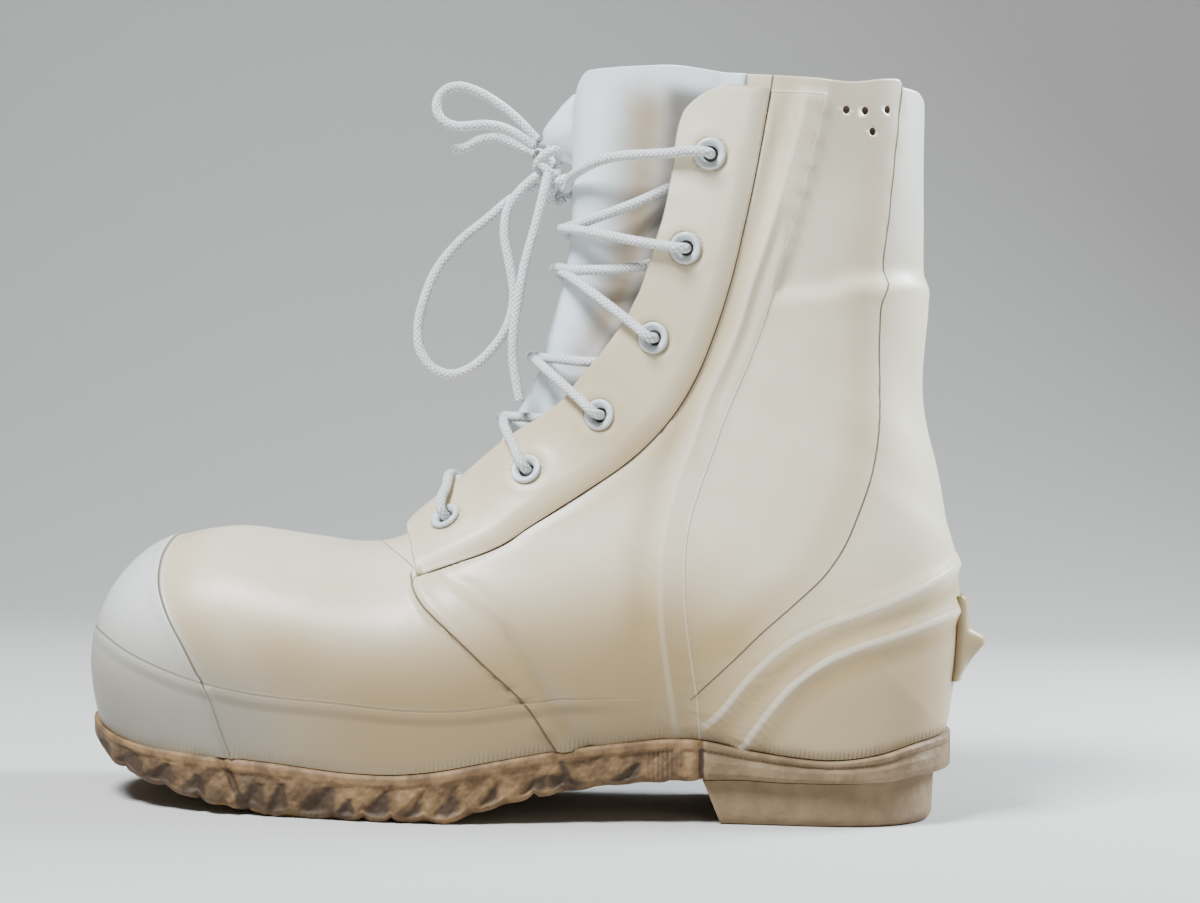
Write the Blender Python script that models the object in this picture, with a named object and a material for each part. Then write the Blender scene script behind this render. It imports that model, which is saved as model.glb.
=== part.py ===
"""A cold-weather vapour-barrier boot of white rubber, the left one, standing empty and unbent on its sole.

Frame: toe towards -X, heel towards +X, outer (lateral) side -Y, inner (medial) side +Y, +Z up. The origin is on
the floor, under the middle of the boot. Every size below is in millimetres and for a boot drawn with its shaft upright;
stand() leans it forward, centres it and turns it into metres.

The last is a stack of sections hinged about the instep. Each section is a plane across the foot or the shaft: it
runs from a front point, on the toe box, instep or shaft front, to a rear point, on the sole line or the back of the
heel. A place on the last is (row, angle, side): the row counts sections from the toe tip to the collar, and the angle
goes round a section from its front line (0) over its widest place (90) to its rear line (180).
"""
import math

import bmesh
import bpy
import numpy as np
from mathutils import Vector

# ---------------------------------------------------------------- driving sizes, in millimetres
MM = 0.001
BOOT_LENGTH = 328.0  # toe tip to the back of the counter
BALL_WIDTH = 120.0
INSTEP_HEIGHT = 100.0
COLLAR_HEIGHT = 275.0
TOE_TIP_X = -168.5
LEAN = 0.029  # how far the boot leans towards its toe, as a share of the height
CENTRE = (-1.5, 0.9)  # what brings the middle of the boot over the origin: x, y
GAP = 0.3  # what touching pieces keep between them
FLAP_GAP = 0.75  # the same where both are curved

WALL_THICK = 8.0  # rubber, insulation and lining together
WALL_THIN = 3.4  # bare rubber above the insulation and round the throat
TONGUE_WALL = 3.0
FLAP_WALL = 2.4
INSOLE_THICK, INSOLE_RISE = 4.0, 0.7  # the insole, and how far over the sole line it lies
LATERAL, MEDIAL = -1.0, 1.0
SIDES = {"lateral": LATERAL, "medial": MEDIAL}

# ---------------------------------------------------------------- the tables
# One row a section. Along: share of BOOT_LENGTH behind the toe tip. Level: 0 floor, 1 instep, 2 collar.
# Half: share of half the ball width. Shift: of the front point towards the inner side, in millimetres.
# Widest: where the section is widest, as a share of the way from front to rear. Round: 2 is an ellipse, more is boxier.
SECTION_COLUMNS = "front_along front_level rear_along rear_level half shift widest front_round rear_round".split()
SECTIONS = np.array([
    (0.000, 0.460, 0.008, 0.295, 0.000, 5.5, 0.50, 2.00, 2.20),  # toe tip
    (0.007, 0.630, 0.021, 0.276, 0.458, 5.4, 0.56, 2.10, 2.30),
    (0.032, 0.810, 0.058, 0.243, 0.708, 5.0, 0.60, 2.20, 2.40),
    (0.084, 0.955, 0.111, 0.222, 0.858, 4.6, 0.62, 2.30, 2.50),
    (0.163, 1.010, 0.184, 0.207, 0.942, 4.2, 0.64, 2.30, 2.50),  # toe crown
    (0.248, 0.994, 0.264, 0.192, 0.995, 3.6, 0.66, 2.25, 2.50),
    (0.313, 0.975, 0.343, 0.173, 1.008, 3.0, 0.68, 2.20, 2.50),  # ball
    (0.361, 1.003, 0.422, 0.197, 0.985, 2.0, 0.70, 2.10, 2.50),  # throat
    (0.401, 1.068, 0.514, 0.254, 0.900, 1.0, 0.72, 2.05, 2.50),
    (0.444, 1.154, 0.617, 0.299, 0.817, 0.5, 0.74, 2.05, 2.50),  # instep
    (0.486, 1.263, 0.742, 0.284, 0.767, 0.0, 0.78, 2.10, 2.50),
    (0.514, 1.363, 0.873, 0.259, 0.758, 0.0, 0.80, 2.20, 2.40),
    (0.527, 1.446, 0.983, 0.330, 0.758, 0.0, 0.70, 2.30, 2.30),  # heel corner
    (0.537, 1.514, 1.000, 0.660, 0.767, 0.0, 0.62, 2.30, 2.20),
    (0.546, 1.583, 0.992, 1.011, 0.775, 0.0, 0.58, 2.30, 2.20),
    (0.552, 1.657, 0.970, 1.229, 0.800, 0.0, 0.54, 2.30, 2.20),  # ankle
    (0.553, 1.737, 0.962, 1.429, 0.833, 0.0, 0.52, 2.25, 2.20),
    (0.554, 1.823, 0.963, 1.617, 0.858, 0.0, 0.50, 2.20, 2.20),
    (0.554, 1.909, 0.964, 1.806, 0.867, 0.0, 0.50, 2.20, 2.20),
    (0.555, 2.000, 0.965, 1.989, 0.875, 0.0, 0.50, 2.20, 2.20),  # collar
])
HEEL_ROW = 12.0  # sections before it stand on the sole line, those after it close round the heel
COLLAR_ROW = float(len(SECTIONS) - 1)
THROAT_ROW = 7.45  # the lower end of the throat

# The heel's back, from the sole line to the collar.
BACK_COLUMNS = "height x".split()
BACK = np.array([
    (33, 154.0), (38, 155.3), (49, 157.2), (62, 159.0), (78, 159.8), (89, 159.3), (100, 158.0), (111, 154.9),
    (123, 152.8), (134, 150.4), (145, 147.6), (157, 145.8), (168, 145.8), (180, 146.8), (191, 147.8),
    (208, 148.0), (240, 147.8), (275, 148.0),
])

# The sole from the side: the line where the upper meets it, and the underside that its cleats reach.
SOLE_COLUMNS = "x line under".split()
SOLE = np.array([
    (-170, 31.0, 26.0), (-166, 29.5, 22.4), (-155, 25.5, 14.2), (-143, 23.2, 10.0), (-128, 22.0, 6.0),
    (-106, 20.6, 2.0), (-92, 19.6, 0.0), (-66, 17.4, 0.0), (-48, 17.4, 0.0), (-32, 19.4, 0.0), (-19, 22.0, 4.2),
    (-3, 25.0, 8.7), (13, 27.6, 11.7), (30, 29.7, 14.0), (60, 31.2, 16.0), (74, 28.5, 16.5), (90, 26.0, 16.0),
    (107, 24.8, 16.0), (125, 27.0, 16.5), (140, 31.0, 18.5), (156, 33.6, 20.0),
])

# The sole from below: its middle line and half width, before its ends are rounded.
PLAN_COLUMNS = "x middle half".split()
PLAN = np.array([
    (-170, 5.5, 50.0), (-150, 5.2, 52.0), (-110, 3.5, 55.0), (-80, 2.2, 58.3), (-55, 0.6, 60.0), (-30, -1.8, 58.2),
    (0, -4.0, 51.0), (30, -4.0, 44.5), (60, -2.5, 42.0), (100, -0.8, 43.5), (130, 0.0, 44.0), (160, 0.0, 44.0),
])
SOLE_TOE_X, SOLE_HEEL_X = -167.0, 155.0
TOE_ROUNDING, TOE_POWER = 64.0, 2.25
HEEL_ROUNDING, HEEL_POWER = 50.0, 2.2

# The eyestay flap: its free front edge and its rear seam, as angles on the last.
FLAP_COLUMNS = "row free seam".split()
FLAP = np.array([
    (7.22, 12.0, 44.5), (7.50, 4.0, 45.8), (8.20, 4.0, 47.5), (8.80, 9.5, 48.0), (9.50, 15.5, 48.0),
    (10.60, 22.5, 46.5), (12.20, 31.5, 52.0), (13.70, 42.5, 64.0), (15.30, 53.5, 77.5), (16.50, 59.5, 84.5),
    (17.60, 64.0, 89.0), (18.20, 66.5, 90.8), (18.45, 70.0, 91.6), (18.60, 79.0, 92.0),
])
# The throat's edge in the upper, hidden under the flap.
THROAT_COLUMNS = "row edge".split()
THROAT = np.array([
    (7.45, 0.0), (7.50, 12.0), (7.60, 24.0), (7.80, 34.0), (8.20, 41.0), (8.80, 43.0), (9.50, 43.5), (10.60, 42.5),
    (12.20, 47.5), (13.70, 58.5), (15.30, 71.5), (16.50, 78.5), (17.60, 83.0), (18.60, 86.0), (19.00, 86.5),
])
EYELETS = ((8.14, 28.5), (9.71, 35.0), (11.44, 38.5), (13.82, 52.5), (15.82, 67.0), (17.50, 75.5))

# Seams and steps of the upper, as drawn on its side.
CAP_SEAM = np.array([(0, 3.20), (33, 3.13), (52, 3.13), (67, 3.28), (96, 3.70), (148, 4.02), (180, 4.10)])  # angle row
BUMPER_TOP = np.array([  # x height
    (-170, 64.5), (-163, 63.5), (-144, 55.4), (-118, 47.0), (-101, 44.0), (-72, 42.0), (-47, 40.2), (-26, 40.5),
    (-5, 43.4), (10, 45.2), (25, 45.7),
])
BAND_FRONT = np.array([(32, 52.8), (50, 49.6), (74, 48.6), (102, 49.9), (139, 56.4), (164, 67.0), (208, 84.8),
                       (240, 91.0), (268, 96.0)])  # height x
BAND_REAR = np.array([(31, 59.7), (46, 58.7), (67, 56.1), (91, 55.6), (117, 57.5), (135, 61.6), (165, 75.9),
                      (193, 86.4), (233, 95.1), (268, 104.3)])
RIBS = (  # x height, down the counter
    np.array([(60, 36.0), (66, 40.0), (78, 54.8), (92, 66.8), (110, 76.7), (132, 84.3), (154, 93.9), (162, 97.0)]),
    np.array([(72, 25.0), (81, 40.7), (93, 52.6), (107, 63.0), (128, 69.6), (156, 79.5), (162, 82.0)]),
)

# How far each of them stands out from the last, and how wide its soft edge is.
CAP_RISE, CAP_EDGE = 1.1, 0.9
BUMPER_RISE, BUMPER_EDGE = 0.9, 1.2
BAND_RISE, BAND_EDGE = 1.3, 3.5
RIB_RISE, RIB_HALF = 1.6, 5.0
SHELF_DROP, SHELF_EDGE = 2.0, 6.0
SHELF_HEIGHT, SHELF_SLOPE, SHELF_X = 188.6, 0.154, 75.6

FOLD_DEPTH = 7.0  # the tongue's trough along each side, deepest under the flap's free edge

# Outsole: cleats between zigzag grooves, and a foxing band round the heel.
CLEAT_DEPTH, CLEAT_PITCH, GROOVE_WIDTH = 4.5, 15.0, 6.0
ZIGZAG_REACH, ZIGZAG_STEP = 3.5, 11.0
FIRST_GROOVE_X, GROOVES = -151.0, 14
SOLE_GAP = 0.45
BREAST_X = 61.0  # where the heel block starts
HEEL_BACK_IN, HEEL_SIDE_IN = 5.5, 2.0
HEEL_STATIONS = 12

# Metal eyelets and the round lace.
EYELET_RADIUS, EYELET_BORE, EYELET_BARREL, EYELET_RISE = 5.75, 2.8, 3.7, 1.1
EYELET_HOLE = 4.1
EYELET_SIDES = 10
LACE = 3.7

# The bow's cords, hand laid from the knot outwards: x, y, z.
KNOT_AT = (4.0, -5.0, 243.0)
CORDS = {
    "lace_loop_up": [
        (-0.2, -5.0, 251.1), (-8.5, -5.5, 259.3), (-16.5, -6.0, 265.2), (-23.5, -6.5, 268.7), (-29.5, -7.0, 270.0),
        (-33.6, -7.4, 269.0), (-36.6, -7.8, 266.2), (-37.8, -8.3, 262.4), (-36.8, -8.8, 258.5), (-33.9, -9.2, 255.7),
        (-30.0, -9.6, 254.6), (-24.0, -9.9, 255.0), (-18.0, -10.1, 255.4), (-12.2, -9.9, 254.3), (-6.3, -9.5, 251.4),
        (-1.0, -8.7, 247.9),
    ],
    "lace_loop_down": [
        (0.3, -7.4, 233.9), (-9.7, -8.0, 228.0), (-18.5, -9.0, 220.2), (-29.1, -10.0, 211.1), (-37.3, -11.0, 200.6),
        (-42.3, -12.0, 188.6), (-44.4, -12.5, 178.0), (-43.2, -13.0, 169.0), (-38.8, -13.5, 163.4),
        (-31.7, -14.0, 161.2), (-24.5, -14.5, 163.8), (-16.9, -15.0, 170.6), (-11.2, -15.5, 178.9),
        (-8.4, -15.5, 190.0), (-10.0, -14.5, 203.0), (-12.0, -13.5, 214.0), (-10.6, -12.5, 224.0),
        (-5.6, -11.5, 231.5), (0.2, -10.4, 236.9),
    ],
    "lace_end_1": [
        (4.5, -12.4, 238.0), (2.6, -15.0, 229.5), (-0.4, -16.6, 217.0), (-4.2, -18.0, 203.1), (-6.6, -19.2, 190.1),
        (-8.4, -20.0, 177.0), (-8.6, -20.4, 168.0), (-7.4, -20.6, 159.7), (-6.0, -20.6, 151.5),
    ],
    "lace_end_2": [
        (-0.9, -2.0, 246.0), (-10.0, 0.5, 250.4), (-15.8, 1.5, 252.2), (-22.0, 2.0, 251.2), (-27.5, 2.0, 248.2),
        (-32.6, 2.0, 247.0),
    ],
}


# ---------------------------------------------------------------- curves through the tables
def hermite(xs, ys, slopes, at):
    """Cubic spans between the points, with the given slope at each."""
    at = np.clip(at, xs[0], xs[-1])
    left = np.clip(np.searchsorted(xs, at, side="right") - 1, 0, len(xs) - 2)
    width = xs[left + 1] - xs[left]
    f = (at - xs[left]) / width
    ends = ys[left] * (1 + 2 * f) * (1 - f) ** 2 + ys[left + 1] * f * f * (3 - 2 * f)
    return ends + width * (slopes[left] * f * (1 - f) ** 2 - slopes[left + 1] * f * f * (1 - f))


def curve(xs, ys, at, start_slope=None):
    """A smooth curve through the points; each one's slope comes from its neighbours."""
    xs, ys = np.asarray(xs, float), np.asarray(ys, float)
    slopes = np.gradient(ys, xs)
    if start_slope is not None:
        slopes[0] = start_slope
    return hermite(xs, ys, slopes, at)


def steady(xs, ys, at):
    """A smooth curve that never overshoots a point, so that a corner in the table stays where it is."""
    xs, ys = np.asarray(xs, float), np.asarray(ys, float)
    rise = np.diff(ys) / np.diff(xs)
    slopes = np.gradient(ys, xs)
    before, after = rise[:-1], rise[1:]
    same_way = before * after > 0
    both = np.where(same_way, before + after, 1.0)
    slopes[1:-1] = np.where(same_way, 2 * before * after / both, 0.0)
    slopes[0], slopes[-1] = rise[0], rise[-1]
    return hermite(xs, ys, slopes, at)


def soft_step(amount, edge):
    """0 below -edge / 2, 1 above +edge / 2, and an S between."""
    f = np.clip(amount / edge + 0.5, 0.0, 1.0)
    return f * f * (3 - 2 * f)


# ---------------------------------------------------------------- the sole's plan and side lines
def end_rounding(distance, length, power):
    """How much of the full width a rounded end has, at a distance in from its tip."""
    return (1 - np.clip(1 - distance / length, 0, 1) ** power) ** (1 / power)


def plan(x, grow):
    """The sole's middle line and half width at x, with its outline moved out by grow."""
    toe = end_rounding(x - (SOLE_TOE_X - grow), TOE_ROUNDING, TOE_POWER)
    heel = end_rounding((SOLE_HEEL_X + grow) - x, HEEL_ROUNDING, HEEL_POWER)
    half = (curve(PLAN[:, 0], PLAN[:, 2], x) + grow) * toe * heel
    return curve(PLAN[:, 0], PLAN[:, 1], x), half


def sole_line(x):
    return curve(SOLE[:, 0], SOLE[:, 1], x)


def under_line(x):
    return steady(SOLE[:, 0], SOLE[:, 2], x)


# ---------------------------------------------------------------- the last
def height_of(level):
    return np.interp(level, (0, 1, 2), (0, INSTEP_HEIGHT, COLLAR_HEIGHT))


def sections(row):
    """Every column of SECTIONS at these rows, in millimetres, with the rear points on the sole line or the back."""
    numbers = np.arange(len(SECTIONS))
    got = {name: curve(numbers, SECTIONS[:, i], row) for i, name in enumerate(SECTION_COLUMNS)}
    got["front_x"] = TOE_TIP_X + BOOT_LENGTH * curve(numbers, SECTIONS[:, 0], row, start_slope=0.0)
    got["front_z"] = curve(numbers, height_of(SECTIONS[:, 1]), row)
    on_sole = row <= HEEL_ROW
    along = TOE_TIP_X + BOOT_LENGTH * steady(numbers, SECTIONS[:, 2], row)
    up = steady(numbers, height_of(SECTIONS[:, 3]), row)
    got["rear_x"] = np.where(on_sole, along, curve(BACK[:, 0], BACK[:, 1], up))
    got["rear_z"] = np.where(on_sole, sole_line(along), up)
    middle, half = plan(along, -1.0)
    got["rear_y"] = np.where(on_sole, middle, 0.0)
    got["chord"] = np.where(on_sole, half, 0.0)
    got["half"] = np.maximum(got["half"] * BALL_WIDTH / 2, got["chord"] + GAP)
    return got


def last(row, angle, side):
    """Points of the last. A section is a superellipse on each side of its widest place; on the sole it is cut off at
    the sole's own width. The half width at a share s of the way out from the widest place is
    half * (1 - (1 - end ** power) * s ** power) ** (1 / power)."""
    row, angle = np.broadcast_arrays(np.asarray(row, float), np.asarray(angle, float))
    got = sections(row)
    front = angle <= 90
    share = np.abs(np.cos(np.radians(angle)))
    power = np.where(front, got["front_round"], got["rear_round"])
    end = np.where(front, 0.0, got["chord"] / got["half"])
    wide = got["widest"]
    down = np.where(front, wide * (1 - share), wide + (1 - wide) * share)
    out = got["half"] * np.maximum(1 - (1 - end ** power) * share ** power, 0) ** (1 / power)
    x = got["front_x"] + (got["rear_x"] - got["front_x"]) * down
    y = got["shift"] + (got["rear_y"] - got["shift"]) * down + side * out
    z = got["front_z"] + (got["rear_z"] - got["front_z"]) * down
    return np.stack([x, y, z], -1)


def outward(row, angle, side):
    """The last's unit normal, from a small step along the rows and one round the section."""
    step_row, step_angle = 0.02, 0.5
    row, angle = np.broadcast_arrays(np.asarray(row, float), np.asarray(angle, float))
    low_row, high_row = np.maximum(row - step_row, 0), np.minimum(row + step_row, COLLAR_ROW)
    along = last(high_row, angle, side) - last(low_row, angle, side)
    low_angle, high_angle = np.maximum(angle - step_angle, 0), np.minimum(angle + step_angle, 180)
    across = last(row, high_angle, side) - last(row, low_angle, side)
    normal = np.cross(along, across) * side
    return normal / np.maximum(np.linalg.norm(normal, axis=-1, keepdims=True), 1e-9)


def lifted(row, angle, side, lift):
    """A point of the last, moved out along its normal."""
    return last(row, angle, side) + outward(row, angle, side) * np.asarray(lift)[..., None]


def heel_back(across, height):
    """The point on the back of the heel at this y and height, found by walking along the rows and round the section."""
    row, angle = np.full_like(height, 13.0), np.full_like(height, 165.0)
    side = np.where(across < 0, LATERAL, MEDIAL)
    for _ in range(12):
        at = last(row, angle, side)
        up = last(row + 0.01, angle, side) - at
        round_heel = last(row, angle - 0.1, side) - at
        short_z, short_y = height - at[..., 2], np.abs(across) - np.abs(at[..., 1])
        row = np.clip(row + 0.01 * short_z / up[..., 2], HEEL_ROW, COLLAR_ROW - 1)
        angle = np.clip(angle - 0.1 * short_y / (side * round_heel[..., 1]), 120, 180)
    return last(row, angle, side)


# ---------------------------------------------------------------- the upper's steps and its wall
def cap_row(angle):
    return curve(CAP_SEAM[:, 0], CAP_SEAM[:, 1], angle)


def rib_height(rib, x):
    return curve(rib[:, 0], rib[:, 1], x)


def relief(row, angle, point):
    """How far the wall stands out from the last: toe cap, bumper strip, side band, heel ribs, and the drop above the
    insulation's shelf."""
    x, z = point[..., 0], point[..., 2]
    fade = np.clip(row / 3.0, 0, 1)  # both run out at the toe tip, where the last has its full length
    out = CAP_RISE * soft_step(cap_row(angle) - row, CAP_EDGE / 11) * fade
    bumper = curve(BUMPER_TOP[:, 0], BUMPER_TOP[:, 1], x)
    out += BUMPER_RISE * soft_step(bumper - z, BUMPER_EDGE) * soft_step(25 - x, 20) * fade
    front = curve(BAND_FRONT[:, 0], BAND_FRONT[:, 1], z)
    rear = curve(BAND_REAR[:, 0], BAND_REAR[:, 1], z)
    in_band = soft_step(x - front + BAND_EDGE / 2, BAND_EDGE) * soft_step(rear - x + BAND_EDGE / 2, BAND_EDGE)
    out += BAND_RISE * in_band * (row > THROAT_ROW)
    for rib in RIBS:
        near = np.abs(z - rib_height(rib, x)) / RIB_HALF
        out += RIB_RISE * np.clip(1 - near**2, 0, 1) * (x > rib[0, 0]) * (row > THROAT_ROW)
    above = z - (SHELF_HEIGHT + SHELF_SLOPE * (x - SHELF_X))
    out -= SHELF_DROP * soft_step(above, SHELF_EDGE) * soft_step(x - rear - 3, 6)
    return out


def throat_edge(row):
    return np.where(row > THROAT_ROW, steady(THROAT[:, 0], THROAT[:, 1], row), 0.0)


def wall(row, angle, point):
    """The wall's thickness: the insulation ends at the shelf and short of the throat."""
    x, z = point[..., 0], point[..., 2]
    shelf = SHELF_HEIGHT + SHELF_SLOPE * (x - SHELF_X)
    beside = (angle - throat_edge(row)) * 0.8
    below = np.hypot(np.maximum(THROAT_ROW - row, 0) * 15, np.maximum(angle - 35, 0) * 0.9)
    from_throat = np.where(row > THROAT_ROW, beside, below)
    padded = soft_step(from_throat - 12, 18) * soft_step(shelf - z, 12)
    return WALL_THIN + (WALL_THICK - WALL_THIN) * padded


# ---------------------------------------------------------------- making solids
def material(name, colour, roughness, metallic=0.0):
    look = bpy.data.materials.new(name)
    look.use_nodes = True
    shader = look.node_tree.nodes["Principled BSDF"]
    shader.inputs["Base Color"].default_value = (*colour, 1.0)
    shader.inputs["Roughness"].default_value = roughness
    shader.inputs["Metallic"].default_value = metallic
    return look


def stand(points):
    """From millimetres round the upright boot to metres in the part's own frame."""
    x, y, z = np.moveaxis(np.asarray(points, float), -1, 0)
    return np.stack([x - CENTRE[0] - LEAN * z, y - CENTRE[1], z], -1) * MM


def mesh_of(name, points, faces, look):
    """A closed mesh of points in metres, its faces turned outwards."""
    mesh = bpy.data.meshes.new(name)
    mesh.from_pydata(np.asarray(points).tolist(), [], [tuple(map(int, face)) for face in faces])
    shape = bmesh.new()
    shape.from_mesh(mesh)
    bmesh.ops.recalc_face_normals(shape, faces=shape.faces[:])
    shape.to_mesh(mesh)
    shape.free()
    mesh.materials.append(look)
    mesh.shade_smooth()
    mesh.set_sharp_from_angle(angle=math.radians(40))
    return mesh


def place(name, data, matrix=None):
    thing = bpy.data.objects.new(name, data)
    bpy.context.scene.collection.objects.link(thing)
    if matrix is not None:
        thing.matrix_world = matrix
    return thing


def solid(name, points, faces, look):
    return place(name, mesh_of(name, stand(points), faces, look))


def strip(line_a, line_b):
    """Quads between two rows of point numbers."""
    return [(line_a[i], line_a[i + 1], line_b[i + 1], line_b[i]) for i in range(len(line_a) - 1)]


def net(index):
    """Quads over a grid of point numbers."""
    return [face for row, below in zip(index[:-1], index[1:]) for face in strip(row, below)]


def plate(name, outer, inner, look):
    """A closed wall between two grids of points of the same shape."""
    rows, columns = outer.shape[:2]
    top = np.arange(rows * columns).reshape(rows, columns)
    low = top + rows * columns
    faces = net(top) + net(low)
    for side in (np.s_[0, :], np.s_[-1, :], np.s_[:, 0], np.s_[:, -1]):
        faces += strip(top[side], low[side])
    points = np.concatenate([outer.reshape(-1, 3), inner.reshape(-1, 3)])
    return solid(name, points, faces, look)


def ladder_net(rings):
    """The faces and points of a closed body lofted through rings of points, with its two ends flat."""
    stations, around = rings.shape[:2]
    index = np.arange(stations * around).reshape(stations, around)
    closed = np.concatenate([index, index[:, :1]], axis=1)
    return net(closed) + [tuple(index[0]), tuple(index[-1])], rings.reshape(-1, 3)


def ladder(name, rings, look):
    faces, points = ladder_net(rings)
    return solid(name, points, faces, look)


def combine(target, tool, operation):
    """Joins a tool to the target, or cuts it away, and leaves the tool out of the model."""
    step = target.modifiers.new(operation.lower(), "BOOLEAN")
    step.operation = operation
    step.solver = "EXACT"
    step.object = tool
    tool.hide_render = True
    tool.display_type = "WIRE"


def through(route, spacing):
    """Points at about this spacing on a smooth curve through a route's own points."""
    route = np.asarray(route, float)
    runs = np.linalg.norm(np.diff(route, axis=0), axis=1)
    along = np.concatenate([[0], np.cumsum(runs)])
    count = max(int(round(along[-1] / spacing)), 3) + 1
    at = np.linspace(0, along[-1], count)
    return np.stack([curve(along, route[:, i], at) for i in range(3)], -1)


def swept(points, radius, sides=6):
    """A round tube along the points: its ring is carried from point to point without twisting."""
    heading = np.gradient(points, axis=0)
    heading /= np.linalg.norm(heading, axis=1, keepdims=True)
    across = np.cross(heading[0], (0.3, 0.5, 0.8))
    turn = np.radians(np.arange(sides) * 360 / sides)
    rings = []
    for point, ahead in zip(points, heading):
        across = across - ahead * np.dot(across, ahead)
        across /= np.linalg.norm(across)
        up = np.cross(ahead, across)
        rings.append(point + radius * (np.outer(np.cos(turn), across) + np.outer(np.sin(turn), up)))
    return np.array(rings)


# ---------------------------------------------------------------- upper
def bumper_angle(row):
    """Where the bumper's top edge crosses a section, so that a line of the mesh follows it."""
    return curve((0, 1.2, 1.8, 2.6, 3.7, 4.3, 5.5, 6.5, 7.3, 8.1, 9.0, 11.0, 19.0),
                 (90, 62, 62, 81, 96.5, 100, 95, 96, 102.5, 106.5, 112, 104, 90), row)


UPPER_ROWS = np.array([
    0, 0.3, 0.7, 1.2, 1.8, 2.5, 3.30, 3.42, 4.0, 4.8, 5.6, 6.4, 7.0, THROAT_ROW, 7.50, 7.60, 7.80, 8.2, 8.8, 9.3, 9.63, 10.2,
    10.8, 11.3, 11.7, 11.9, HEEL_ROW, 12.35, 12.9, 13.5, 14.1, 14.8, 15.4, 15.9, 16.4, 17.2, 18.1, COLLAR_ROW,
])
UPPER_COLUMNS = np.array([0, 0.1, 0.2, 0.3, 0.4, 0.485, 0.5, 0.6, 0.7, 0.8, 0.9, 1.0])
BUMPER_COLUMN = 0.485


def upper_places():
    """The rows and angles of the upper's grid: its lines follow the throat, the bumper's edge and the cap's seam."""
    row = np.repeat(UPPER_ROWS[:, None], len(UPPER_COLUMNS), axis=1)
    edge, middle = throat_edge(row), bumper_angle(row)
    share = UPPER_COLUMNS[None, :]
    above = edge + (middle - edge) * share / BUMPER_COLUMN
    below = middle + (180 - middle) * (share - BUMPER_COLUMN) / (1 - BUMPER_COLUMN)
    angle = np.where(share <= BUMPER_COLUMN, above, below)
    nearness = np.clip(1 - np.abs(row - 3.36) / 1.7, 0, 1)
    return row + (cap_row(angle) - 3.36) * nearness, angle


def vertex_normals(points, faces):
    """Each point's normal, from the faces round it."""
    faces = np.asarray(faces)
    a, b, c, d = (points[faces[:, i]] for i in range(4))
    area = np.cross(c - a, d - b)
    total = np.zeros_like(points)
    for i in range(4):
        np.add.at(total, faces[:, i], area)
    return total


def level(normals, index):
    """Lays the normals of an edge flat, so that the edge's rim keeps its height."""
    normals[index, 2] = 0.0


def make_upper(look):
    row, angle = upper_places()
    rows, columns = row.shape
    throat, heel = np.searchsorted(UPPER_ROWS, THROAT_ROW), np.searchsorted(UPPER_ROWS, HEEL_ROW)
    index = {LATERAL: np.arange(rows * columns).reshape(rows, columns)}
    index[MEDIAL] = index[LATERAL] + rows * columns
    shared = np.zeros((rows, columns), bool)
    shared[0, :] = True  # the toe tip's middle line
    shared[: throat + 1, 0] = True  # over the toe box to the throat
    shared[heel:, -1] = True  # up the back of the heel
    index[MEDIAL] = np.where(shared, index[LATERAL], index[MEDIAL])

    points = np.zeros((2 * rows * columns, 3))
    stand_out, thick = np.zeros(len(points)), np.zeros(len(points))
    for side in (MEDIAL, LATERAL):
        at = last(row, angle, side)
        points[index[side]] = at
        stand_out[index[side]] = relief(row, angle, at)
        thick[index[side]] = wall(row, angle, at)
    faces = net(index[LATERAL]) + [face[::-1] for face in net(index[MEDIAL])]
    normals = vertex_normals(points, faces)
    for side in (LATERAL, MEDIAL):
        level(normals, index[side][: heel + 1, -1])
        level(normals, index[side][-1, :])
    normals /= np.maximum(np.linalg.norm(normals, axis=1, keepdims=True), 1e-9)
    middle = points.mean(axis=0)
    if np.sum((points[index[LATERAL][4, 5]] - middle) * normals[index[LATERAL][4, 5]]) < 0:
        normals = -normals

    outer = points + normals * stand_out[:, None]
    inner = points - normals * thick[:, None]
    inside = {side: index[side] + len(points) for side in index}
    faces += [face for side in index for face in net(inside[side])]
    for side in index:
        faces += strip(index[side][: heel + 1, -1], inside[side][: heel + 1, -1])
        faces += strip(index[side][throat:, 0], inside[side][throat:, 0])
        faces += strip(index[side][-1, :], inside[side][-1, :])
    used = np.unique([i for face in faces for i in face])
    number = np.full(2 * len(points), -1)
    number[used] = np.arange(len(used))
    everything = np.concatenate([outer, inner])[used]
    return solid("upper", everything, [[number[i] for i in face] for face in faces], look)


# ---------------------------------------------------------------- tongue and eyestays
def free_edge(row):
    return steady(FLAP[:, 0], FLAP[:, 1], row)


def flap_seam(row):
    return steady(FLAP[:, 0], FLAP[:, 2], row)


def tongue_level(row, angle):
    """How far the tongue lies under the last: a fold along each side, and all of it near the tongue's foot."""
    depth = curve((7.5, 8.0, 9.0, 12.0, 16.0, 19.0), (0.0, 4.8, 5.4, 6.5, FOLD_DEPTH, 4.0), row)
    free = free_edge(np.minimum(row, 18.0))
    under_flap = soft_step(throat_edge(row) - angle - 5, 7)
    beside_front = soft_step(angle - 0.5 * free, 0.6 * free)
    foot = 1 - soft_step(row - 9.2, 1.6)
    return -depth * under_flap * np.maximum(beside_front, foot)


TONGUE_SHARES = np.array([-1, -0.9, -0.74, -0.5, 0, 0.5, 0.74, 0.9, 1])


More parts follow.
